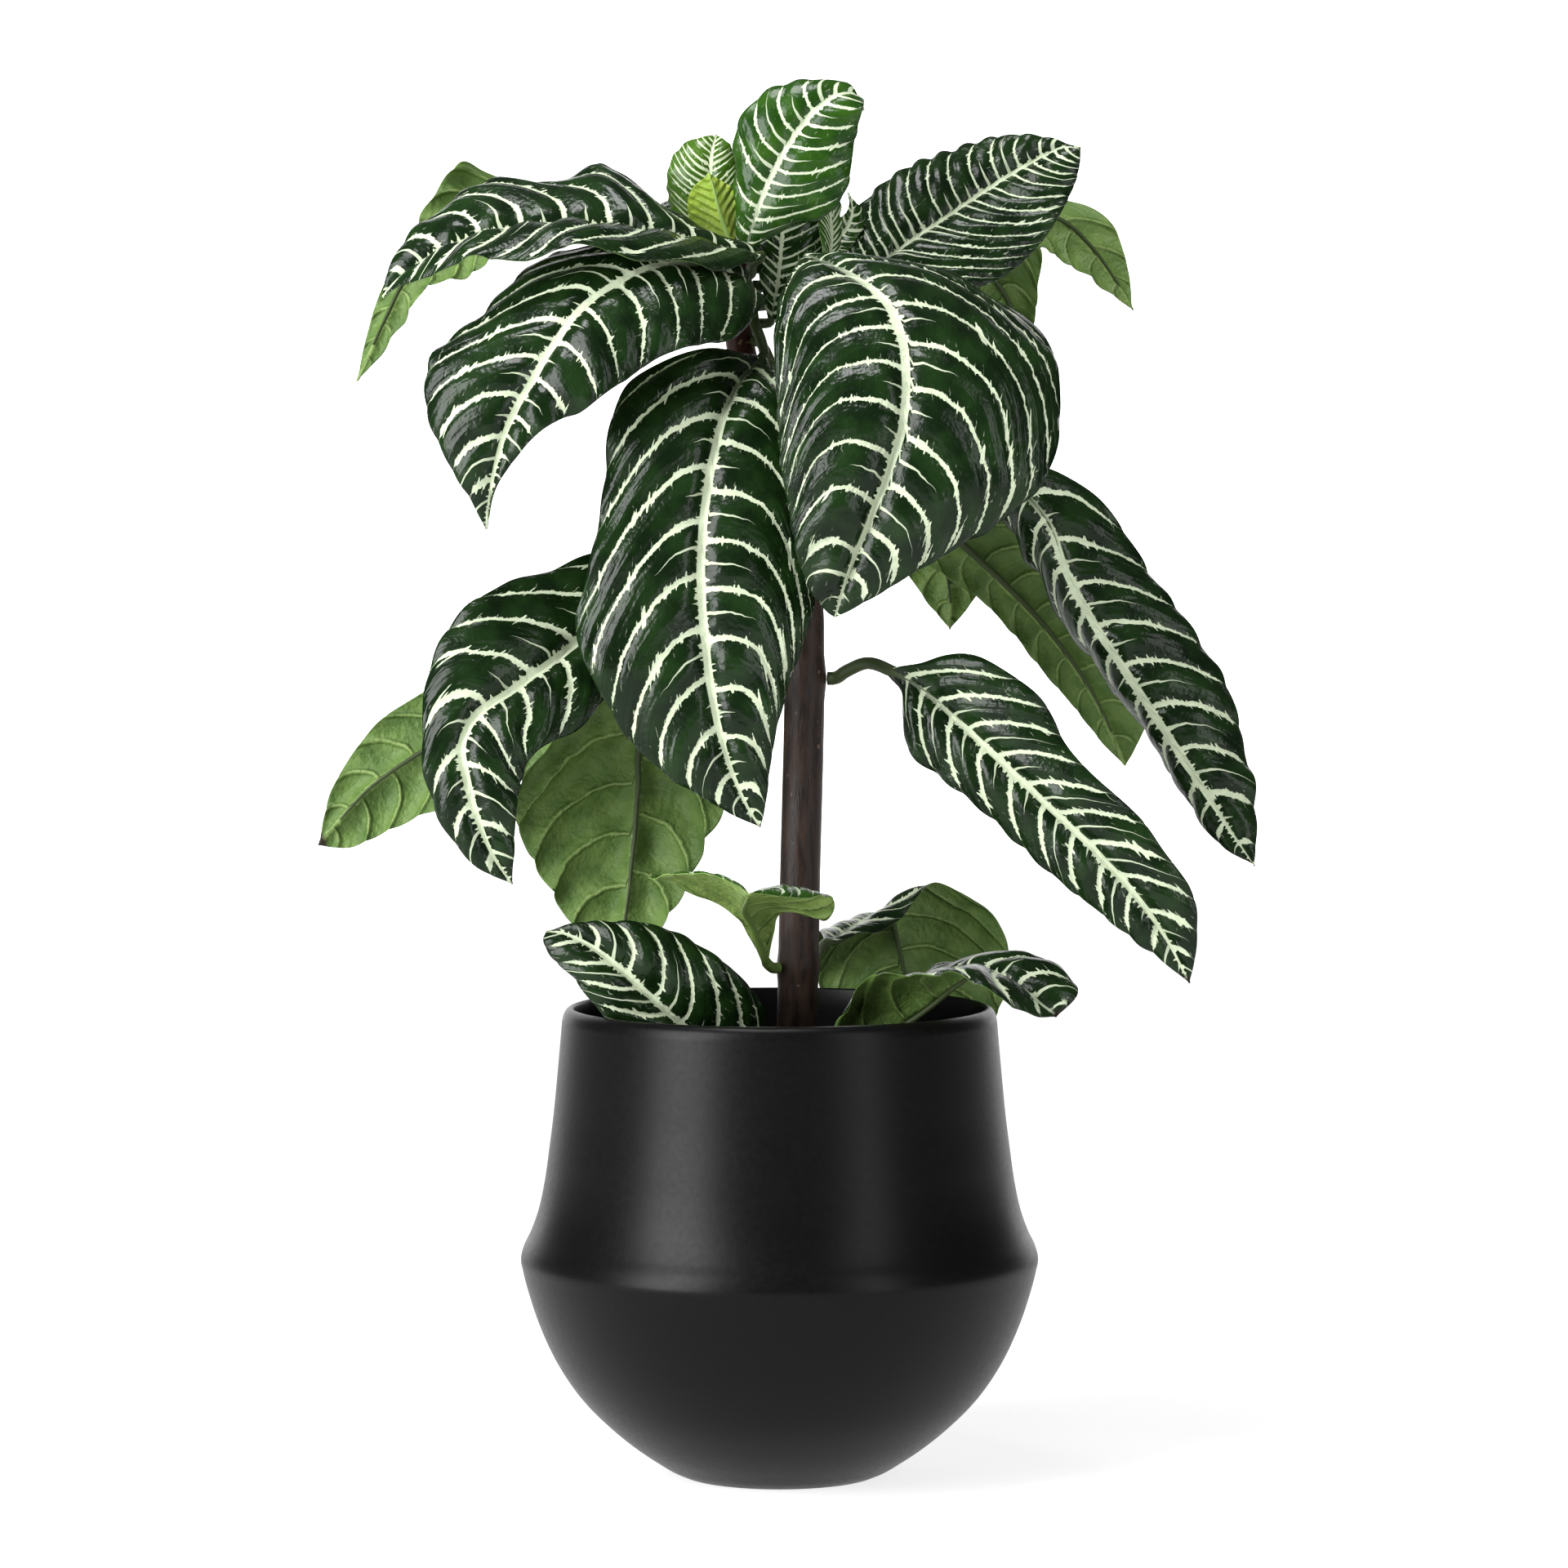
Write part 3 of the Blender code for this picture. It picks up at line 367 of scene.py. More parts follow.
add_leaf(
    "crown_front", node=(490, 350), radius=1.8, phase=6.1, veins=9, tone=0.3, quilt=0.5, small=True,
    sweep=((0.8, 1.6), (0.8, 1.6)), stations="""
    944 395 -4  941 395 -4  948 395 -4
    950 362 -4  934 358 -3  983 368 2
    955 325 -1  927 321 -2  1008 326 6
    958 285 3  923 272 8  1014 286 10
    962 250 8  926 236 13  1004 248 15
    968 222 12  945 212 15  990 215 17
    975 198 15
    """,
)
add_leaf(
    "back_left", node=(513, 115), radius=2.0, phase=2.2, small=True, stations="""
    890 303 26  886 302 26  895 303 26
    878 270 45  843 272 41  925 270 45
    868 254 68  806 262 65  930 254 69
    862 252 94  802 262 92  926 252 94
    858 268 118  810 276 114  912 268 118
    856 288 140  825 296 136  890 288 138
    856 322 160
    """,
)
add_leaf(
    "back_mid", node=(461, 118), radius=2.4, phase=4.6, stations="""
    928 472 30  923 472 30  934 472 30
    934 460 52  884 470 46  985 468 50
    940 460 80  870 474 76  1012 474 78
    946 476 108  872 492 106  1022 490 106
    950 505 130  880 522 128  1020 520 128
    952 545 142  900 560 140  1002 558 140
    952 575 146  930 580 145  975 580 145
    952 604 148
    """,
)
add_leaf(
    "left_mid", node=(388, 200), radius=2.4, phase=0.7, veins=7.5, sweep=((0.9, 2.0), (1.1, 2.0)),
    stalk=[(880, 700, -18)], stations="""
    800 720 -30  803 725 -30  798 715 -29
    757 751 -40  777 800 -44  742 678 -34
    715 781 -49  744 848 -52  678 699 -42
    672 813 -57  712 888 -60  618 716 -50
    622 849 -64  672 910 -67  554 764 -58
    580 880 -70  645 934 -72  523 838 -66
    566 912 -73  636 960 -75  518 893 -70
    572 956 -76  631 987 -76  522 947 -74
    586 1006 -77  630 1020 -76  540 1004 -76
    603 1046 -76  628 1052 -76  576 1054 -76
    628 1085 -73
    """,
)
add_leaf(
    "left_low", node=(340, 170), radius=2.4, phase=3.1, veins=8, dry=0.04, stalk=[(860, 808, 4)],
    stations="""
    730 812 8  728 808 10  732 817 6
    662 838 14  642 790 20  682 900 8
    602 872 17  577 815 24  622 960 10
    547 903 18  515 848 24  562 982 12
    495 935 17  462 888 22  515 997 12
    450 968 15  420 940 18  462 1022 12
    418 1002 12  403 980 13  428 1037 10
    389 1036 9
    """,
)
add_leaf(
    "center_low", node=(420, 150), radius=2.4, phase=5.5, veins=7, tone=0.15, quilt=2.0,
    stalk=[(870, 660, 30)], stations="""
    806 742 44  801 742 44  812 742 44
    793 800 54  720 808 50  862 800 47
    786 860 60  672 882 54  886 868 50
    783 920 64  641 952 56  893 928 52
    781 980 66  633 1003 57  881 985 54
    776 1040 66  657 1053 58  856 1045 56
    770 1095 64  688 1108 58  827 1100 57
    764 1140 61  713 1145 58  798 1145 57
    756 1185 57
    """,
)
add_leaf(
    "right_low", node=(340, 350), radius=2.6, phase=1.6, veins=10.5, dry=0.03,
    sweep=((1.3, 1.7), (1.2, 1.7)), stalk=[(1036, 822, -8), (1062, 812, -16)], stations="""
    1092 822 -25  1095 817 -26  1088 828 -24
    1120 838 -31  1131 812 -34  1106 852 -27
    1150 862 -36  1185 802 -44  1110 905 -30
    1190 898 -42  1264 843 -52  1132 936 -36
    1240 945 -48  1304 912 -56  1195 982 -42
    1290 992 -52  1363 970 -60  1245 1030 -46
    1340 1040 -55  1413 1025 -62  1300 1078 -50
    1390 1095 -56  1456 1087 -62  1355 1122 -52
    1426 1146 -55  1466 1142 -58  1402 1158 -52
    1457 1206 -52
    """,
)
add_leaf(
    "low_left", node=(184, 205), radius=2.2, phase=4.0, veins=7, sweep=((1.5, 1.4), (1.2, 2.2)),
    stations="""
    918 1300 -16  915 1303 -16  921 1296 -16
    886 1288 -25  868 1310 -26  934 1262 -23
    851 1267 -33  818 1296 -35  933 1235 -30
    816 1238 -39  768 1268 -42  906 1196 -36
    779 1204 -42  728 1230 -44  852 1156 -39
    741 1171 -42  699 1192 -43  795 1132 -41
    706 1149 -40  673 1168 -40  736 1130 -39
    683 1141 -38  666 1151 -38  696 1132 -38
    667 1140 -36
    """,
)
add_leaf(
    "low_right", node=(184, 345), radius=2.2, phase=0.2, veins=7, dry=0.03, stations="""
    1010 1290 -6  1013 1286 -4  1008 1293 -8
    1052 1278 -14  1078 1268 6  1036 1236 -32
    1096 1256 -21  1130 1222 8  1064 1205 -48
    1135 1230 -29  1152 1188 4  1112 1194 -60
    1166 1205 -37  1176 1181 -6  1152 1197 -68
    1198 1188 -46  1212 1176 -20  1190 1207 -76
    1229 1198 -54  1263 1175 -36  1223 1221 -78
    1260 1217 -59  1302 1188 -48  1253 1240 -74
    1279 1232 -61  1319 1216 -56  1272 1247 -68
    1296 1244 -62
    """,
)
add_leaf(
    "low_curl", node=(217, 215), radius=2.2, phase=2.6, veins=8, tone=0.8, quilt=0.5, small=True,
    stations="""
    938 1178 -13  941 1177 -13  935 1180 -13
    925 1150 -22  947 1142 -20  916 1146 -24
    915 1122 -34  956 1124 -29  902 1124 -34
    911 1110 -46  986 1124 -36  864 1098 -42
    913 1103 -60  1013 1122 -46  815 1084 -54
    915 1099 -74  1021 1111 -60  795 1078 -68
    916 1096 -86  1005 1101 -74  830 1066 -80
    917 1094 -96  965 1096 -90  876 1074 -90
    918 1092 -102
    """,
)
add_leaf(
    "low_back", node=(217, 62), radius=2.2, phase=5.0, veins=8, quilt=0.6, stalk=[(1000, 1168, 26)],
    stations="""
    1014 1152 38  1010 1150 39  1018 1154 38
    1040 1137 54  1006 1146 58  1075 1140 52
    1066 1122 70  1000 1160 76  1112 1116 68
    1088 1117 83  1001 1183 90  1150 1084 82
    1098 1148 92  1005 1212 98  1208 1112 88
    1107 1190 96  1022 1240 99  1232 1160 86
    1114 1230 97  1052 1268 99  1231 1215 85
    1121 1268 95  1088 1292 97  1202 1264 86
    1130 1308 91
    """,
)
add_leaf(
    "right_hang", node=(425, 10), radius=2.6, phase=1.1, veins=9.5, sweep=((0.9, 1.8), (0.9, 1.8)),
    stalk=[(1080, 572, 16)], stations="""
    1205 580 24  1208 576 24  1202 585 25
    1245 598 25  1275 576 29  1227 628 36
    1283 640 24  1336 606 30  1262 680 42
    1303 695 21  1386 670 30  1287 730 42
    1338 762 17  1442 752 27  1325 785 40
    1388 838 13  1493 825 24  1374 848 36
    1432 905 10  1517 895 20  1420 912 30
    1470 962 8  1531 955 16  1450 968 20
    1503 1012 7  1537 1008 11  1486 1025 12
    1537 1062 5
    """,
)
add_leaf(
    "right_green", node=(430, 50), radius=2.4, phase=3.5, stalk=[(1030, 590, 32)], stations="""
    1110 612 52  1106 617 52  1114 606 53
    1150 643 62  1120 672 60  1195 615 68
    1190 680 70  1158 704 68  1262 645 78
    1232 720 76  1200 732 74  1310 690 86
    1275 765 80  1240 773 78  1350 750 90
    1312 812 82  1280 823 80  1385 805 90
    1343 862 82  1325 875 81  1413 862 88
    1363 905 80  1352 912 80  1398 900 84
    1378 939 78
    """,
)
add_leaf(
    "right_tip", node=(470, 70), radius=2.2, phase=5.9, veins=8, tone=0.3, small=True,
    stalk=[(985, 470, 45)], stations="""
    1050 500 62  1046 504 62  1055 496 63
    1092 545 76  1056 565 76  1140 525 80
    1124 595 88  1072 618 87  1184 575 92
    1145 645 96  1085 665 95  1212 635 98
    1157 692 100  1110 700 99  1208 690 101
    1163 732 100  1136 736 100  1191 734 100
    1163 772 98
    """,
)


def unit(vectors):
    """Each vector at length one."""
    vectors = np.asarray(vectors, float)
    length = np.linalg.norm(vectors, axis=-1, keepdims=True)
    return vectors / np.maximum(length, TINY)


def from_picture(points):
    """Places in the plant of points given as (across, down, depth)."""
    across, down, depth = np.moveaxis(np.asarray(points, float), -1, 0)
    side = (across - PICTURE_MIDDLE) / PICTURE_FOCUS
    lift = (PICTURE_MIDDLE - down) / PICTURE_FOCUS
    forward = math.cos(EYE_PITCH) + lift * math.sin(EYE_PITCH)
    upward = lift * math.cos(EYE_PITCH) - math.sin(EYE_PITCH)
    reach = (depth - EYE[1]) / forward
    return np.stack([EYE[0] + side * reach, depth, EYE[2] + upward * reach], -1)


def path_knots(path):
    """How far along a path each of its points lies."""
    return np.concatenate([[0], np.cumsum(np.linalg.norm(np.diff(path, axis=0), axis=1))])


def smooth_curve(knots, values, at):
    """A smooth curve through values at the knots, read at the given places."""
    knots = np.asarray(knots, float)
    values = np.asarray(values, float).reshape(len(knots), -1)
    gap = np.diff(knots)[:, None]
    slope = np.diff(values, axis=0) / gap
    tangent = np.empty_like(values)
    tangent[0] = slope[0]
    tangent[-1] = slope[-1]
    tangent[1:-1] = (slope[:-1] * gap[1:] + slope[1:] * gap[:-1]) / (gap[1:] + gap[:-1])
    at = np.atleast_1d(np.asarray(at, float))
    piece = np.clip(np.searchsorted(knots, at, side="right") - 1, 0, len(knots) - 2)
    share = ((at - knots[piece]) / gap[piece, 0])[:, None]
    rest = 1 - share
    return (
        (1 + 2 * share) * rest**2 * values[piece]
        + share * rest**2 * gap[piece] * tangent[piece]
        + share**2 * (3 - 2 * share) * values[piece + 1]
        - share**2 * rest * gap[piece] * tangent[piece + 1]
    )


def stem_at(heights):
    """Centres (x, y) and radii of the stem at some heights."""
    line = np.array(STEM_LINE, float)
    radius = np.array(STEM_RADIUS, float)
    return smooth_curve(line[:, 2], line[:, :2], heights), np.interp(heights, radius[:, 0], radius[:, 1])


def blade_lines(leaf):
    """Knots along a blade from 0 to 1, its midrib, left margin and right margin as points, and its length."""
    lines = from_picture(leaf["lines"])
    knots = path_knots(lines[0])
    return knots / knots[-1], lines, knots[-1]


def blade_surface(leaf, along, across):
    """Points of the blade's middle sheet, for rows along (0 to 1) and columns across (-1 left to 1 right)."""
    knots, lines, length = blade_lines(leaf)
    middle, left, right = (smooth_curve(knots, line, along) for line in lines)
    ahead = smooth_curve(knots, lines[0], np.minimum(along + SLOPE_STEP, 1.0))
    behind = smooth_curve(knots, lines[0], np.maximum(along - SLOPE_STEP, 0.0))
    tangent = unit(ahead - behind)
    share = np.abs(across)[None, :, None]
    margin = np.where(across[None, :, None] < 0, left[:, None], right[:, None])
    points = middle[:, None] * (1 - share) + margin * share
    half = margin - middle[:, None]
    flank = unit(half * np.where(across < 0, -1, 1)[None, :, None])
    normal = unit(np.cross(flank, tangent[:, None]))
    width = np.linalg.norm(half, axis=2, keepdims=True)
    phase = leaf["phase"] + np.where(across < 0, 0.0, RIGHT_WAVE_LAG)[None, :]
    wave = np.sin(2 * np.pi * length / WAVE_PITCH * along[:, None] + phase)[:, :, None]
    height = np.minimum(WAVE_HEIGHT, WAVE_SHARE * width)
    lift = CAMBER * width * 4 * share * (1 - share) + height * wave * share**2
    return points + normal * lift, middle, tangent


def surface_normals(points, tangent):
    """Normals of a grid of surface points, facing the upper side."""
    sideways = np.gradient(points, axis=1)
    length_ways = np.gradient(points, axis=0)
    still = np.linalg.norm(length_ways, axis=2, keepdims=True) < TINY
    length_ways = np.where(still, tangent[:, None], length_ways)
    return unit(np.cross(sideways, length_ways))


def soft_noise(x, y, seed):
    """Smooth values from about -1 to 1 over a plane, without repeats."""
    total = np.zeros(np.broadcast(x, y).shape)
    rng = np.random.default_rng(seed)
    for _ in range(7):
        turn = rng.uniform(0, 2 * np.pi)
        scale = rng.uniform(0.25, 0.85)
        total += np.sin((x * np.cos(turn) + y * np.sin(turn)) * scale + rng.uniform(0, 6.28))
    return total / 4


class FineBlade:
    """A blade's middle sheet in fine rows, quilted, and where each of its points lies among the veins."""

    def __init__(self, leaf, rows, columns):
        self.leaf = leaf
        self.length = blade_lines(leaf)[2]
        along = np.linspace(0.0, LAST_ROW, rows)
        even = np.linspace(-1, 1, columns)
        across = np.sin(even * np.pi / 2) * CROWDING + even * (1 - CROWDING)
        base, middle, tangent = blade_surface(leaf, along, across)
        arm = base - middle[:, None]
        ahead = np.einsum("rcx,rx->rc", arm, tangent)
        self.along = along[:, None]
        self.on_left = (across < 0)[None, :]
        self.side = np.linalg.norm(arm - ahead[:, :, None] * tangent[:, None], axis=2)
        self.signed_side = self.side * self.by_half(-1.0, 1.0)
        self.place = self.along * self.length + ahead
        self.edge = np.maximum(self.by_half(self.side[:, [0]], self.side[:, [-1]]), 1.0)
        self.share = np.clip(self.side / self.edge, 0, 1)
        self.phase, self.slant = self.veins()
        self.points = base + surface_normals(base, tangent) * self.relief()[:, :, None]
        self.normals = surface_normals(self.points, tangent)

    def by_half(self, left, right):
        """One value for the points left of the midrib, another for the rest."""
        return np.where(self.on_left, left, right)

    def veins(self):
        """How many side veins lie before each point, and how squarely they cross the blade there."""
        leaf = self.leaf
        lean = self.by_half(*leaf["lean"])
        reach, bend = (self.by_half(left, right) for left, right in zip(*leaf["sweep"]))
        sweep = self.edge * (lean * self.share + reach * self.share**bend)
        slope = lean + reach * bend * self.share ** (bend - 1)
        halves = self.by_half(-3.0, 3.0)
        jitter = VEIN_JITTER * soft_noise(self.place / JITTER_SIZE, halves, int(leaf["phase"] * 10) + 3)
        phase = (self.place - sweep) / self.length * leaf["veins"] + self.by_half(0.0, RIGHT_VEIN_LAG)
        return phase + leaf["phase"] + jitter, 1 / np.sqrt(1 + slope**2)

    def relief(self):
        """How high each point stands over the plain blade."""
        leaf = self.leaf
        foot = np.clip(self.along * FOOT_FADE, 0, 1)
        bare = np.clip(self.side / RIB_CLEARANCE, 0, 1) * np.clip((1 - self.along) * TIP_FADE, 0, 1) * foot
        valley = np.abs(self.phase - np.round(self.phase)) * 2
        quilt = np.sin(np.clip(valley, 0, 1) * np.pi / 2) ** QUILT_ROUNDING
        spots = (self.place / PUCKER_SIZE, self.signed_side / PUCKER_SIZE)
        pucker = PUCKER_RISE * soft_noise(*spots, int(leaf["phase"] * 7) + 11) * (PUCKER_LEAST + quilt)
        flutes = np.sin(2 * np.pi * (self.place / self.length * leaf["veins"] + 0.25))
        rise = leaf["quilt"] * bare * (QUILT_RISE * quilt * self.slant**0.5 + pucker)
        rise += bare * FLUTE_RISE * self.share**5 * flutes
        return rise - GROOVE_DEPTH * np.exp(-((self.side / GROOVE_WIDTH) ** 2)) * foot

    def stored(self):
        """What the leaf's colours are worked out from, one value for each point."""
        dry = np.clip((self.along - 1 + self.leaf["dry"]) * DRY_FADE, 0, 1)
        values = {
            "phase": self.phase, "side": self.signed_side, "place": self.place, "along": self.along,
            "edge": (1 - self.share) * self.edge, "pitch": self.length / self.leaf["veins"],
            "slant": self.slant, "tone": self.leaf["tone"], "dry": dry,
        }
        return {key: np.broadcast_to(value, self.side.shape).ravel() for key, value in values.items()}


def blade_faces(rows, columns):
    """Faces of a blade's upper side, under side and rim; the under side's points follow the upper's."""
    grid = np.arange(rows * columns).reshape(rows, columns)
    upper = np.stack([grid[:-1, :-1], grid[:-1, 1:], grid[1:, 1:], grid[1:, :-1]], -1).reshape(-1, 4)
    ring = np.concatenate([grid[0], grid[1:, -1], grid[-1, -2::-1], grid[-2:0:-1, 0]])
    after = np.roll(ring, -1)
    rim = np.stack([after, ring, ring + grid.size, after + grid.size], -1)
    return upper, upper[:, ::-1] + grid.size, rim


def ring_faces(rings, sides, first=0):
    """The numbers of the points of a tube, ring by ring, and the faces round it."""
    grid = np.arange(rings * sides).reshape(rings, sides) + first
    after = np.roll(grid, -1, axis=1)
    return grid, np.stack([grid[:-1], after[:-1], after[1:], grid[1:]], -1).reshape(-1, 4)


def end_faces(ring):
    """Faces over a ring with an even number of points, facing along the tube."""
    last = len(ring) - 1
    return np.array([[ring[i], ring[i + 1], ring[last - 1 - i], ring[last - i]] for i in range(last // 2)])


def tube_faces(rings, sides, first=0):
    """Faces round a tube and over both its ends."""
    grid, faces = ring_faces(rings, sides, first)
    return np.vstack([faces, end_faces(grid[0])[:, ::-1], end_faces(grid[-1])])


def stalk_line(leaf):
    """Points along the leaf's stalk, from the stem to the foot of the blade, and the way it sets out."""
    height, degrees = leaf["node"]
    centre, stem_radius = stem_at([height])
    turn = math.radians(degrees)
    out = np.array([math.cos(turn), math.sin(turn), 0.0])
    start = np.array([*centre[0], height]) + out * (stem_radius[0] + STALK_GAP)
    rest = from_picture([*leaf["stalk"], *leaf["lines"][0, :2]])
    path = np.vstack([start, start + out * FIRST_RING * leaf["radius"], rest])
    knots = path_knots(path)
    return smooth_curve(knots, path, np.linspace(0, knots[-2], STALK_ROWS)), out


def rib_line(leaf, blade):
    """Points along the raised midrib below the blade, and its radius at each."""
    share = np.linspace(0.0, RIB_END, RIB_ROWS)
    rows, columns = blade.side.shape
    at = (share / LAST_ROW * (rows - 1)).round().astype(int)
    radius = leaf["radius"] * (1 - share) ** RIB_TAPER * RIB_SHARE + RIB_LEAST
    sunk = np.minimum(radius * RIB_SUNK, radius - RIB_BITE) + 0.25 * np.clip(share * 20, 0, 1)
    return blade.points[at, columns // 2] - blade.normals[at, columns // 2] * sunk[:, None], radius


def tube_points(line, radii, out, up):
    """Rings of points round a line that sets out one way, with no twist."""
    tangents = unit(np.gradient(line, axis=0))
    tangents[0] = out
    turns = np.linspace(0, 2 * np.pi, TUBE_SIDES, endpoint=False)[:, None]
    rings = []
    for spot, tangent, radius in zip(line, tangents, radii):
        across = unit(np.cross(tangent, up))
        up = np.cross(across, tangent)
        rings.append(spot + radius * (np.cos(turns) * across + np.sin(turns) * up))
    return np.vstack(rings)


def new_object(name, data):
    """An object in the scene with the given mesh, light or camera."""
    made = bpy.data.objects.new(name, data)
    bpy.context.scene.collection.objects.link(made)
    return made


def mesh_piece(name, points, faces, materials, slots=None, stored=None):
    """A smooth mesh, with the numbers of its materials by face and stored values by point."""
    mesh = bpy.data.meshes.new(name)
    mesh.from_pydata((points * MM).tolist(), [], faces)
    for material in materials:
        mesh.materials.append(material)
    if slots is not None:
        mesh.polygons.foreach_set("material_index", slots.astype(np.int32))
    mesh.polygons.foreach_set("use_smooth", np.ones(len(faces), bool))
    for key, values in (stored or {}).items():
        layer = mesh.attributes.new(key, "FLOAT", "POINT")
        layer.data.foreach_set("value", values.astype(np.float32))
    return new_object(name, mesh)


def leaf_piece(name, leaf, materials):
    """One leaf: two quilted faces joined at the margin, and a stalk that runs on as the midrib below."""
    rows, columns = SMALL_GRID if leaf["small"] or leaf["young"] else LARGE_GRID
    blade = FineBlade(leaf, rows, columns)
    to_margin = 1 - np.abs(np.linspace(-1, 1, columns))
    thick = BLADE_THICKNESS / 2 * np.clip(to_margin * MARGIN_THINNING, MARGIN_LEAST, 1)[None, :, None]
    top = (blade.points + blade.normals * thick).reshape(-1, 3)
    low = (blade.points - blade.normals * thick).reshape(-1, 3)
    stalk, out = stalk_line(leaf)
    rib, rib_radius = rib_line(leaf, blade)
    stalk_radius = np.linspace(leaf["radius"] * STALK_FLARE, leaf["radius"], STALK_ROWS - 1)
    radii = np.concatenate([stalk_radius, rib_radius[1:]])
    tube = tube_points(np.vstack([stalk[:-1], rib[1:]]), radii, out, blade.normals[0, columns // 2])
    parts = [*blade_faces(rows, columns), tube_faces(len(radii), TUBE_SIDES, 2 * len(top))]
    slots = np.repeat([0, 1, 1, 2], [len(part) for part in parts])
    stored = {}
    for key, values in blade.stored().items():
        stored[key] = np.concatenate([values, values, np.full(len(tube), values[0])])
    return mesh_piece(name, np.vstack([top, low, tube]), np.vstack(parts).tolist(), materials, slots, stored)


class Paint:
    """A material's node tree, with short ways to add maths, noise and colour."""

    def __init__(self, name):
        self.material = bpy.data.materials.new(name)
        self.material.use_nodes = True
        self.tree = self.material.node_tree
        self.shader = self.tree.nodes["Principled BSDF"]

    def put(self, socket, value):
        """Link a socket to another, or give it a plain value or colour."""
        if isinstance(value, bpy.types.NodeSocket):
            self.tree.links.new(value, socket)
        elif isinstance(value, tuple) and len(value) == 3 and socket.type == "RGBA":
            socket.default_value = (*value, 1.0)
        else:
            socket.default_value = value

    def add(self, kind, inputs, **settings):
        """A node with its settings made and its inputs filled in."""
        node = self.tree.nodes.new("ShaderNode" + kind)
        for key, value in settings.items():
            setattr(node, key, value)
        for key, value in inputs.items():
            self.put(node.inputs[key], value)
        return node

    def math(self, operation, *values):
        return self.add("Math", dict(enumerate(values)), operation=operation).outputs[0]

    def chain(self, operation, first, *rest):
        """Values joined one after another by one operation."""
        for value in rest:
            first = self.math(operation, first, value)
        return first

    def plus(self, *values):
        return self.chain("ADD", *values)

    def minus(self, *values):
        return self.chain("SUBTRACT", *values)

    def times(self, *values):
        return self.chain("MULTIPLY", *values)

    def largest(self, *values):
        return self.chain("MAXIMUM", *values)

    def distance(self, first, second):
        """How far apart two values are."""
        return self.math("ABSOLUTE", self.minus(first, second))

    def stored(self, name):
        """A value stored on the mesh's points."""
        return self.add("Attribute", {}, attribute_name=name).outputs["Fac"]

    def point(self, x, y, z=0.0):
        return self.add("CombineXYZ", {"X": x, "Y": y, "Z": z}).outputs[0]

    def place(self):
        """The place on the object, in metres."""
        return self.add("TexCoord", {}).outputs["Object"]

    def noise(self, vector, scale, detail=2.0, rough=0.5):
        inputs = {"Vector": vector, "Scale": scale, "Detail": detail, "Roughness": rough}
        return self.add("TexNoise", inputs).outputs[0]

    def step(self, value, low, high, start=0.0, end=1.0):
        """A smooth step from start to end while the value goes from low to high."""
        inputs = {"Value": value, "From Min": low, "From Max": high, "To Min": start, "To Max": end}
        return self.add("MapRange", inputs, interpolation_type="SMOOTHSTEP").outputs["Result"]

    def blend(self, share, first, second):
        """A colour between two. The node's inputs share some names, so they go by number."""
        return self.add("Mix", {0: share, 6: first, 7: second}, data_type="RGBA").outputs[2]

    def bump(self, height, distance, strength=1.0):
        inputs = {"Height": height, "Distance": distance, "Strength": strength}
        return self.add("Bump", inputs).outputs[0]

    def finish(self, colour, roughness, normal=None, specular=0.5):
        self.put(self.shader.inputs["Base Color"], colour)
        self.put(self.shader.inputs["Roughness"], roughness)
        self.shader.inputs["Metallic"].default_value = 0.0
        self.shader.inputs["Specular IOR Level"].default_value = specular
        if normal is not None:
            self.put(self.shader.inputs["Normal"], normal)
        return self.material


def blade_values(paint):
    """The values stored on a blade and what follows from them, by name."""
    keys = ("phase", "side", "place", "along", "edge", "pitch", "slant", "tone", "dry")
    at = SimpleNamespace(**{key: paint.stored(key) for key in keys})
    at.arm = paint.math("ABSOLUTE", at.side)
    at.half = paint.math("SIGN", at.side)
    at.slim = paint.math("MINIMUM", paint.largest(paint.math("DIVIDE", at.pitch, 18.0), 0.38), 1.15)
    wobble = paint.noise(paint.point(at.place, at.side), scale=0.12)
    at.turned = paint.plus(at.phase, paint.times(paint.minus(wobble, 0.5), 0.16))
    return at


def side_veins(paint, at, width):
    """How far each point lies in a side vein, with its comb-like edge, and how far off the vein's middle."""
    cell = paint.math("ROUND", at.turned)
    off = paint.times(paint.distance(at.turned, cell), at.pitch, at.slant)
    comb_place = paint.point(at.arm, paint.times(cell, 5.3), paint.times(at.half, 9.1))
    comb = paint.noise(comb_place, scale=0.62, detail=1.5, rough=0.6)
    teeth = paint.step(comb, 0.56, 0.72, 0.0, 1.5 * width)
    grain = paint.noise(paint.point(at.place, at.side, 4.0), scale=0.9, detail=1.0)
    ragged = paint.step(grain, 0.35, 0.7, -0.12, 0.25 * width)
    plain = paint.step(at.arm, 0.0, 45.0, 1.05 * width, 0.42 * width)
    reach = paint.times(paint.step(at.edge, 0.8, 4.5), paint.step(at.along, 0.985, 0.93))
    half_width = paint.times(paint.plus(plain, teeth, ragged), at.slim, reach)
    return paint.step(paint.minus(off, half_width), 0.16, -0.16), off


def midrib(paint, at, width):
    """How far each point lies in the midrib."""
    comb = paint.noise(paint.point(at.place, paint.times(at.half, 6.7)), scale=0.55, detail=1.5, rough=0.6)
    teeth = paint.step(comb, 0.5, 0.72, 0.0, 1.7 * width)
    plain = paint.step(at.along, 0.7, 1.0, 1.8 * width, 0.35 * width)
    half_width = paint.times(paint.plus(plain, teeth), paint.step(at.along, 0.0, 0.3, 0.5, 1.0), at.slim)
    return paint.step(paint.minus(at.arm, half_width), 0.18, -0.18)


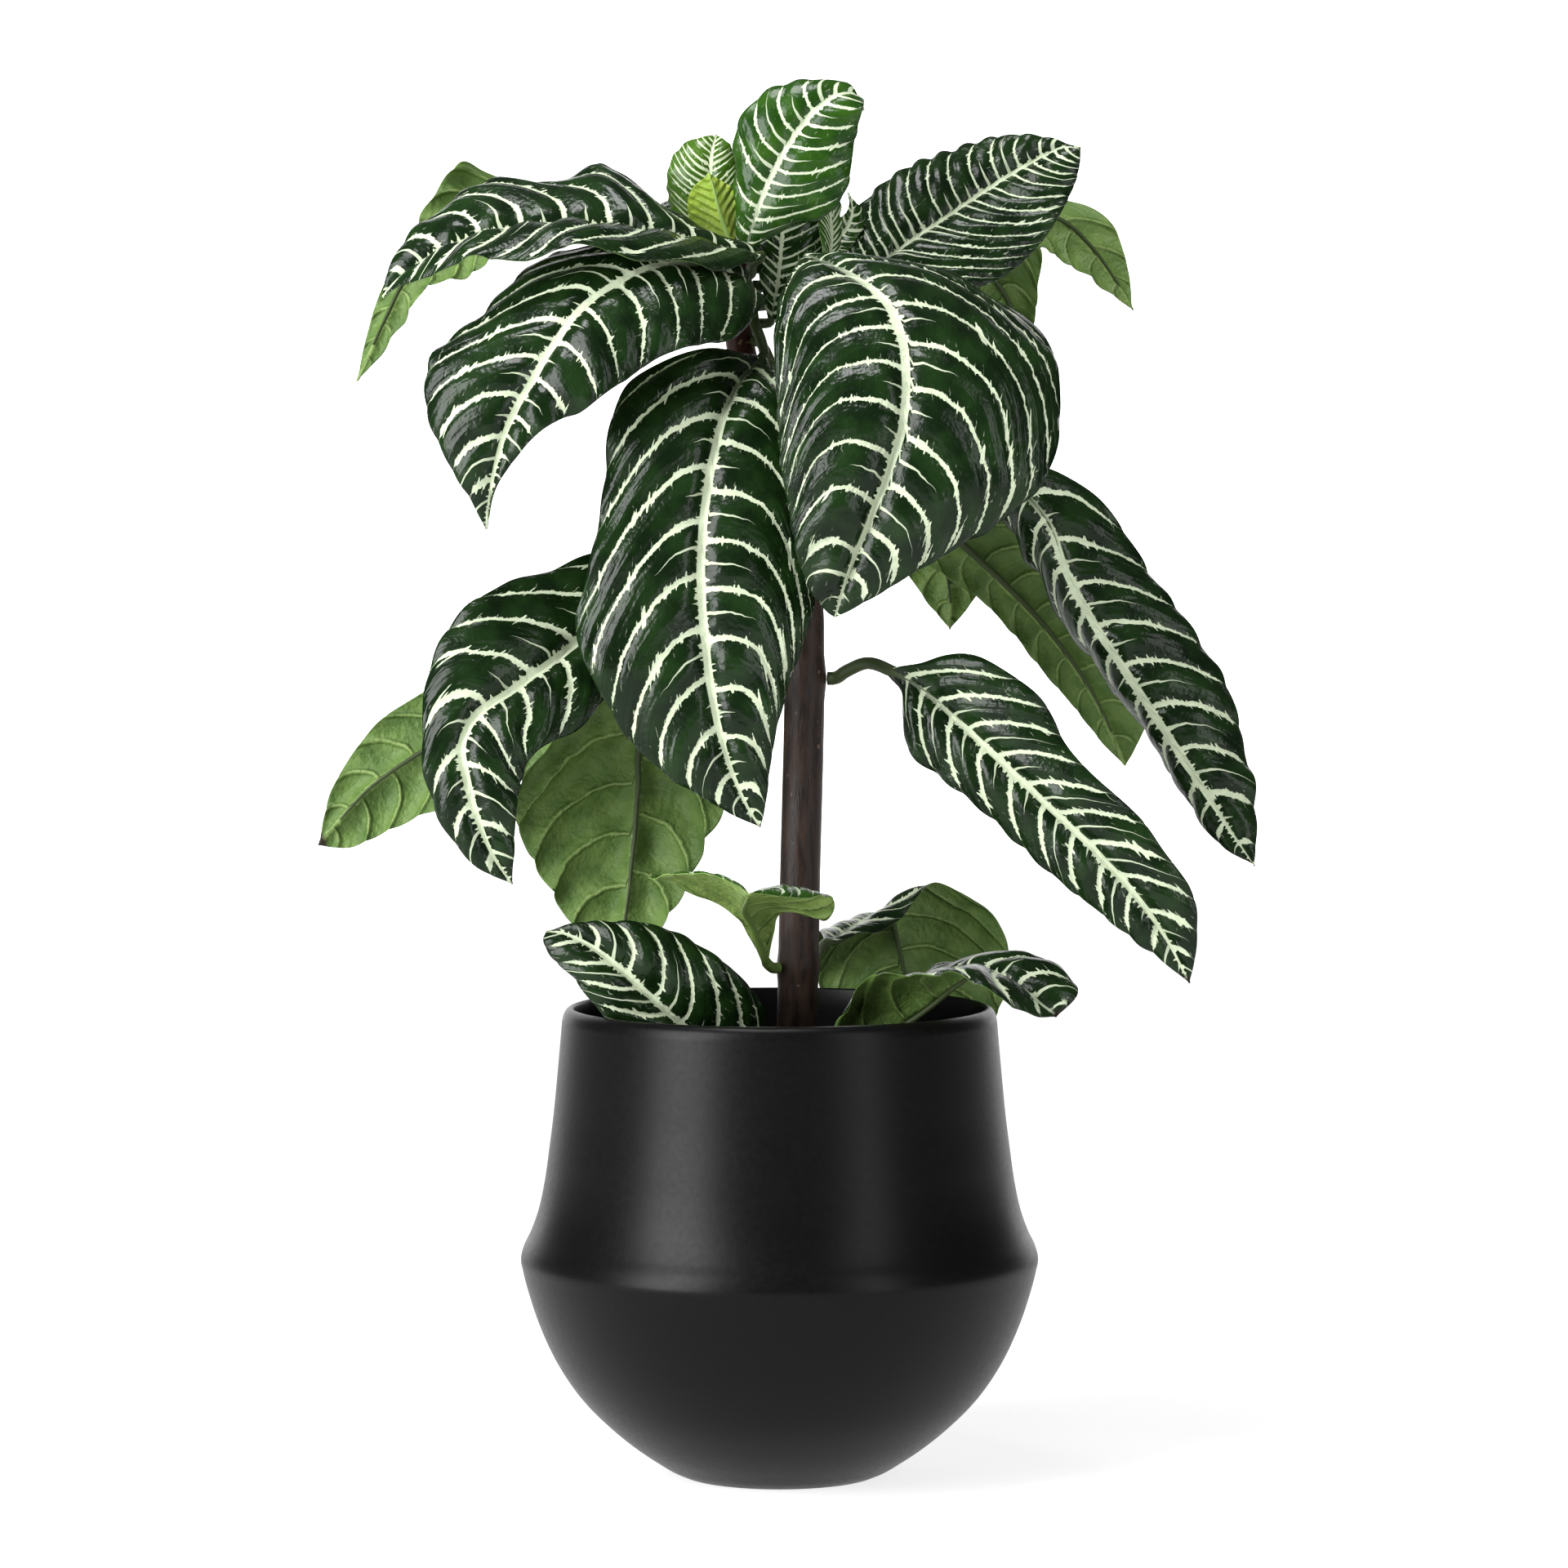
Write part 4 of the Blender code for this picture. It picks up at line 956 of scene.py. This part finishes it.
def short_veins(paint, at, width):
    """How far each point lies in a short vein, which starts at the midrib between two side veins."""
    cell = paint.math("FLOOR", at.turned)
    off = paint.times(paint.distance(paint.minus(at.turned, cell), 0.5), at.pitch)
    chance = paint.noise(paint.point(paint.times(cell, 3.7), paint.times(at.half, 4.4)), scale=1.0)
    length = paint.step(chance, 0.35, 0.65, 4.0, 22.0)
    taper = paint.minus(1.0, paint.math("DIVIDE", at.arm, length))
    half_width = paint.times(paint.largest(taper, 0.0), 0.85 * width)
    vein = paint.step(paint.minus(off, half_width), 0.10, -0.10)
    return paint.times(vein, paint.step(taper, 0.0, 0.05))


def dashes(paint, at, flat, off):
    """How far each point lies in one of the loose dashes near the side veins."""
    count = paint.math("FRACT", paint.plus(paint.times(at.arm, 0.28), paint.noise(flat, scale=0.2)))
    near = paint.step(off, 4.6, 1.0)
    patches = paint.noise(paint.point(at.side, at.place, 7.0), scale=0.33, detail=1.0)
    gate = paint.times(paint.step(patches, 0.56, 0.66), near)
    return paint.times(paint.step(paint.distance(count, 0.5), 0.055, 0.02), gate)


def leaf_green(paint, cloud, tone, greens):
    """A clouded green that goes with the leaf's age."""
    old, young, bud = (paint.blend(cloud, dark, pale) for dark, pale in greens)
    grown = paint.blend(paint.step(tone, 0.0, 1.0), old, young)
    return paint.blend(paint.step(tone, 1.0, 2.0), grown, bud)


def leaf_upper():
    """Glossy dark green with cream veins."""
    paint = Paint("leaf_upper")
    at = blade_values(paint)
    flat = paint.point(at.place, at.side, at.tone)
    veins, off = side_veins(paint, at, width=1.0)
    rib = paint.times(midrib(paint, at, width=1.0), paint.step(at.along, 0.06, 0.26, 0.2, 1.0))
    between = paint.times(short_veins(paint, at, width=1.0), 0.85)
    cream = paint.largest(veins, rib, between, paint.times(dashes(paint, at, flat, off), 0.55))
    cloud = paint.step(paint.noise(flat, scale=0.07, detail=3.0), 0.35, 0.7)
    green = leaf_green(paint, cloud, at.tone, UPPER_GREENS)
    vein_colour = paint.blend(paint.noise(flat, scale=0.4), *VEIN_CREAM)
    vein_colour = paint.blend(paint.step(at.tone, 1.0, 2.0), vein_colour, VEIN_OF_BUD)
    colour = paint.blend(at.dry, paint.blend(cream, green, vein_colour), DRY_UPPER)
    with_veins = paint.point(paint.times(at.phase, at.pitch), paint.times(at.side, 0.42), at.tone)
    streaks = paint.times(paint.noise(with_veins, scale=0.15, rough=0.45), 0.7)
    crinkle = paint.times(paint.noise(flat, scale=0.5, detail=1.0), 0.12)
    height = paint.plus(streaks, crinkle, paint.times(cream, -0.12))
    rough = paint.step(cream, 0.0, 1.0, 0.24, 0.5)
    return paint.finish(colour, rough, paint.bump(height, distance=0.0020, strength=0.9), specular=0.20)


def leaf_under():
    """Dull mid green with raised, slightly paler veins."""
    paint = Paint("leaf_under")
    at = blade_values(paint)
    flat = paint.point(at.place, at.side)
    veins, off = side_veins(paint, at, width=0.45)
    rib = midrib(paint, at, width=0.45)
    lines = paint.largest(veins, rib, paint.times(short_veins(paint, at, width=0.45), 0.4))
    cloud = paint.step(paint.noise(flat, scale=0.09, detail=3.0), 0.3, 0.7)
    green = leaf_green(paint, cloud, at.tone, UNDER_GREENS)
    colour = paint.blend(at.dry, paint.blend(paint.times(lines, 0.55), green, VEIN_BELOW), DRY_UNDER)
    ridge = paint.plus(paint.step(off, 1.6, 0.0, 0.0, 0.8), paint.noise(flat, scale=0.35, detail=3.0))
    return paint.finish(colour, 0.5, paint.bump(ridge, distance=0.0014, strength=0.9), specular=0.25)


def leaf_stalk():
    """Mottled olive, and pale green on young leaves."""
    paint = Paint("leaf_stalk")
    mottle = paint.noise(paint.place(), scale=90.0, detail=3.0)
    olive = paint.blend(mottle, (0.022, 0.034, 0.012), (0.055, 0.078, 0.028))
    colour = paint.blend(paint.step(paint.stored("tone"), 0.3, 1.2), olive, (0.17, 0.27, 0.06))
    return paint.finish(colour, 0.45, paint.bump(mottle, distance=0.0004), specular=0.25)


def pot_glaze():
    """Black with a satin finish."""
    paint = Paint("pot_glaze_black")
    grain = paint.noise(paint.place(), scale=420.0)
    colour = paint.blend(grain, (0.0018, 0.0018, 0.0019), (0.0028, 0.0028, 0.0030))
    rough = paint.step(grain, 0.2, 0.8, 0.33, 0.39)
    return paint.finish(colour, rough, paint.bump(grain, distance=0.00006, strength=0.5), specular=0.13)


def soil_surface():
    """Dark brown crumbs."""
    paint = Paint("soil_dark")
    crumbs = paint.noise(paint.place(), scale=160.0, detail=6.0, rough=0.7)
    colour = paint.blend(paint.step(crumbs, 0.35, 0.7), (0.012, 0.008, 0.006), (0.075, 0.048, 0.030))
    return paint.finish(colour, 0.9, paint.bump(crumbs, distance=0.003), specular=0.2)


def stem_bark():
    """Brown bark with long grain and pale specks, turning maroon near the crown."""
    paint = Paint("stem_bark_brown")
    split = paint.add("SeparateXYZ", {"Vector": paint.place()})
    height = split.outputs["Z"]
    across = [paint.times(split.outputs[axis], 6.0) for axis in ("X", "Y")]
    streak = paint.noise(paint.point(*across, height), scale=60.0, detail=4.0, rough=0.6)
    brown = paint.blend(paint.step(streak, 0.3, 0.72), (0.009, 0.005, 0.004), (0.040, 0.021, 0.014))
    maroon = paint.blend(streak, (0.020, 0.004, 0.004), (0.055, 0.011, 0.010))
    colour = paint.blend(paint.step(height, 0.40, 0.50), brown, maroon)
    specks = paint.step(paint.noise(paint.place(), scale=260.0, detail=1.0), 0.72, 0.78)
    colour = paint.blend(paint.times(specks, 0.7), colour, (0.20, 0.13, 0.09))
    rough = paint.step(streak, 0.3, 0.7, 0.38, 0.55)
    return paint.finish(colour, rough, paint.bump(streak, distance=0.0006), specular=0.25)


def pale_ground(name, grey, glow):
    """A matt grey that also glows, so that it shows as the photo's white."""
    paint = Paint(name)
    paint.shader.inputs["Emission Color"].default_value = WHITE
    paint.shader.inputs["Emission Strength"].default_value = glow
    return paint.finish((grey, grey, grey), 0.9, specular=0.0)


def turned_piece(name, profile, sides, material, wobble=None):
    """A closed turned body, its profile given from the axis round to the axis."""
    radii, heights = np.array(profile[1:-1]).T
    turns = np.linspace(0, 2 * np.pi, sides, endpoint=False)
    x = radii[:, None] * np.cos(turns)
    y = radii[:, None] * np.sin(turns)
    z = np.repeat(heights[:, None], sides, axis=1)
    if wobble:
        z = z + wobble(x, y, z)
    points = np.stack([x, y, z], -1).reshape(-1, 3)
    grid, faces = ring_faces(len(radii), sides)
    after = np.roll(grid, -1, axis=1)
    first, last = len(points), len(points) + 1
    faces = faces.tolist()
    faces += [(first, int(b), int(a)) for a, b in zip(grid[0], after[0])]
    faces += [(last, int(a), int(b)) for a, b in zip(grid[-1], after[-1])]
    ends = [(0.0, 0.0, profile[0][1]), (0.0, 0.0, profile[-1][1])]
    return mesh_piece(name, np.vstack([points, ends]), faces, [material])


def fine_outline(points, step=1.5):
    """A profile read closely along a smooth curve through its points."""
    points = np.array(points, float)
    knots = path_knots(points)
    at = np.linspace(0, knots[-1], int(knots[-1] / step) + 1)
    return [tuple(p) for p in smooth_curve(knots, points, at)]


def pot_piece():
    """The pot, turned from the middle of its foot up the outside, over the lip and down the inside."""
    outside = fine_outline(POT_OUTSIDE)
    lip = fine_outline([outside[-1], *POT_LIP], step=0.5)[1:]
    inside = [(radius - WALL, height) for radius, height in reversed(POT_OUTSIDE[FOOT_POINTS:])]
    inside = fine_outline(inside, step=3.0) + [(POT_OUTSIDE[0][0], CELLAR)]
    profile = [(0.0, 0.0), *outside, *lip, *inside, (0.0, CELLAR)]
    return turned_piece("pot_shell", profile, POT_SIDES, pot_glaze())


def soil_crumbs(x, y, z):
    """How far the top of the soil stands up or sinks in."""
    rough = soft_noise(x / 2.0, y / 2.0, 5) + 0.7 * soft_noise(x * 1.3, y * 1.3, 8)
    return np.where(z > SOIL_TOP - CRUMB_DEPTH, CRUMB_RISE * rough - 1.0, 0.0)


def soil_piece():
    """The soil, turned round the pot's axis, its middle then moved over to the stem."""
    profile = [(0.0, SOIL_TOP - SOIL_DEPTH), (SOIL_RADIUS - 1, SOIL_TOP - SOIL_DEPTH)]
    profile += [(SOIL_RADIUS, SOIL_TOP - SOIL_SHOULDER)]
    for radius in np.linspace(SOIL_RADIUS, HOLE, SOIL_RINGS):
        inward = min(1, (SOIL_RADIUS - radius) / DISH_WIDTH)
        profile.append((radius, SOIL_TOP - SOIL_DISH + SOIL_DISH * inward))
    profile += [(HOLE - 0.2, SOIL_TOP - HOLE_DEPTH), (0.0, SOIL_TOP - HOLE_DEPTH)]
    bed = turned_piece("soil_bed", profile, SOIL_SIDES, soil_surface(), soil_crumbs)
    for corner in bed.data.vertices:
        spread = 1 - (math.hypot(corner.co.x, corner.co.y) / MM - HOLE) / (SOIL_RADIUS - HOLE)
        if corner.co.z > (SOIL_TOP - HOLE_DEPTH - 2) * MM:
            corner.co.x += STEM_LINE[0][0] * MM * min(1.0, max(0.0, spread))
    return bed


def stem_piece():
    """The stem, with four faint ridges that wind round it and a rounded top."""
    heights = np.arange(STEM_RADIUS[0][0], STEM_RADIUS[-1][0] + 0.1, STEM_STEP)
    centre, width = stem_at(heights)
    width[1:-1] = (width[:-2] + width[1:-1] + width[2:]) / 3
    turns = np.linspace(0, 2 * np.pi, STEM_SIDES, endpoint=False)
    rings = []
    for spot, radius, height in zip(centre, width, heights):
        ridge = radius * (1 + STEM_RIDGE * np.cos(4 * turns + height / 60))
        x, y = spot[0] + ridge * np.cos(turns), spot[1] + ridge * np.sin(turns)
        rings.append(np.stack([x, y, np.full(STEM_SIDES, height)], -1))
    crown = rings[-1].mean(0)
    rings.append(crown + (0, 0, 1.2) + (rings[-1] - crown) * 0.6)
    faces = tube_faces(len(rings), STEM_SIDES).tolist()
    return mesh_piece("stem_bare", np.vstack(rings), faces, [stem_bark()])


def area_light(name, place, target, size, power):
    """A soft light that faces its target."""
    light = bpy.data.lights.new(name, "AREA")
    light.shape = "RECTANGLE"
    light.size, light.size_y = size
    light.energy = power
    made = new_object(name, light)
    made.location = place
    made.rotation_euler = (Vector(target) - Vector(place)).to_track_quat("-Z", "Y").to_euler()


def plane(name, material, **where):
    """A flat stage piece."""
    bpy.ops.mesh.primitive_plane_add(**where)
    made = bpy.context.object
    made.name = name
    made.data.materials.append(material)
    return made


def studio():
    """A pale floor, a white backdrop, three soft lights and a little light from all round."""
    floor = plane("floor", pale_ground("pale_floor", 0.34, 0.80), size=9, location=(0, 0, 0))
    upright = (math.pi / 2, 0, 0)
    white = pale_ground("white_backdrop", 0.9, 1.15)
    backdrop = plane("backdrop", white, size=1, location=(0, 3.2, 1.2), rotation=upright)
    backdrop.scale = (5.0, 2.8, 1.0)
    world = bpy.data.worlds.new("studio_world")
    bpy.context.scene.world = world
    world.use_nodes = True
    background = world.node_tree.nodes["Background"]
    background.inputs["Color"].default_value = WHITE
    background.inputs["Strength"].default_value = WORLD_LIGHT
    for light in LIGHTS:
        area_light(*light)
    bpy.context.scene.view_settings.view_transform = "Standard"


def camera():
    """The photographer's view."""
    made = bpy.data.cameras.new("camera")
    made.sensor_width = FILM_WIDTH
    made.lens = PICTURE_FOCUS / PICTURE_SIDE * FILM_WIDTH
    made.clip_end = 50
    view = new_object("camera", made)
    view.location = [value * MM for value in EYE]
    view.rotation_euler = (math.pi / 2 - EYE_PITCH, 0, 0)
    bpy.context.scene.camera = view


def dress(piece, node):
    """Put a piece in the place of its node."""
    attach(piece, "root")
    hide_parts(node)


def build():
    """The whole picture."""
    materials = [leaf_upper(), leaf_under(), leaf_stalk()]
    for name, leaf in LEAVES.items():
        dress(leaf_piece("blade_" + name, leaf, materials), "leaf_" + name)
    dress(stem_piece(), "stem")
    dress(pot_piece(), "pot")
    dress(soil_piece(), "soil")
    studio()
    camera()


build()
bpy.context.view_layer.update()
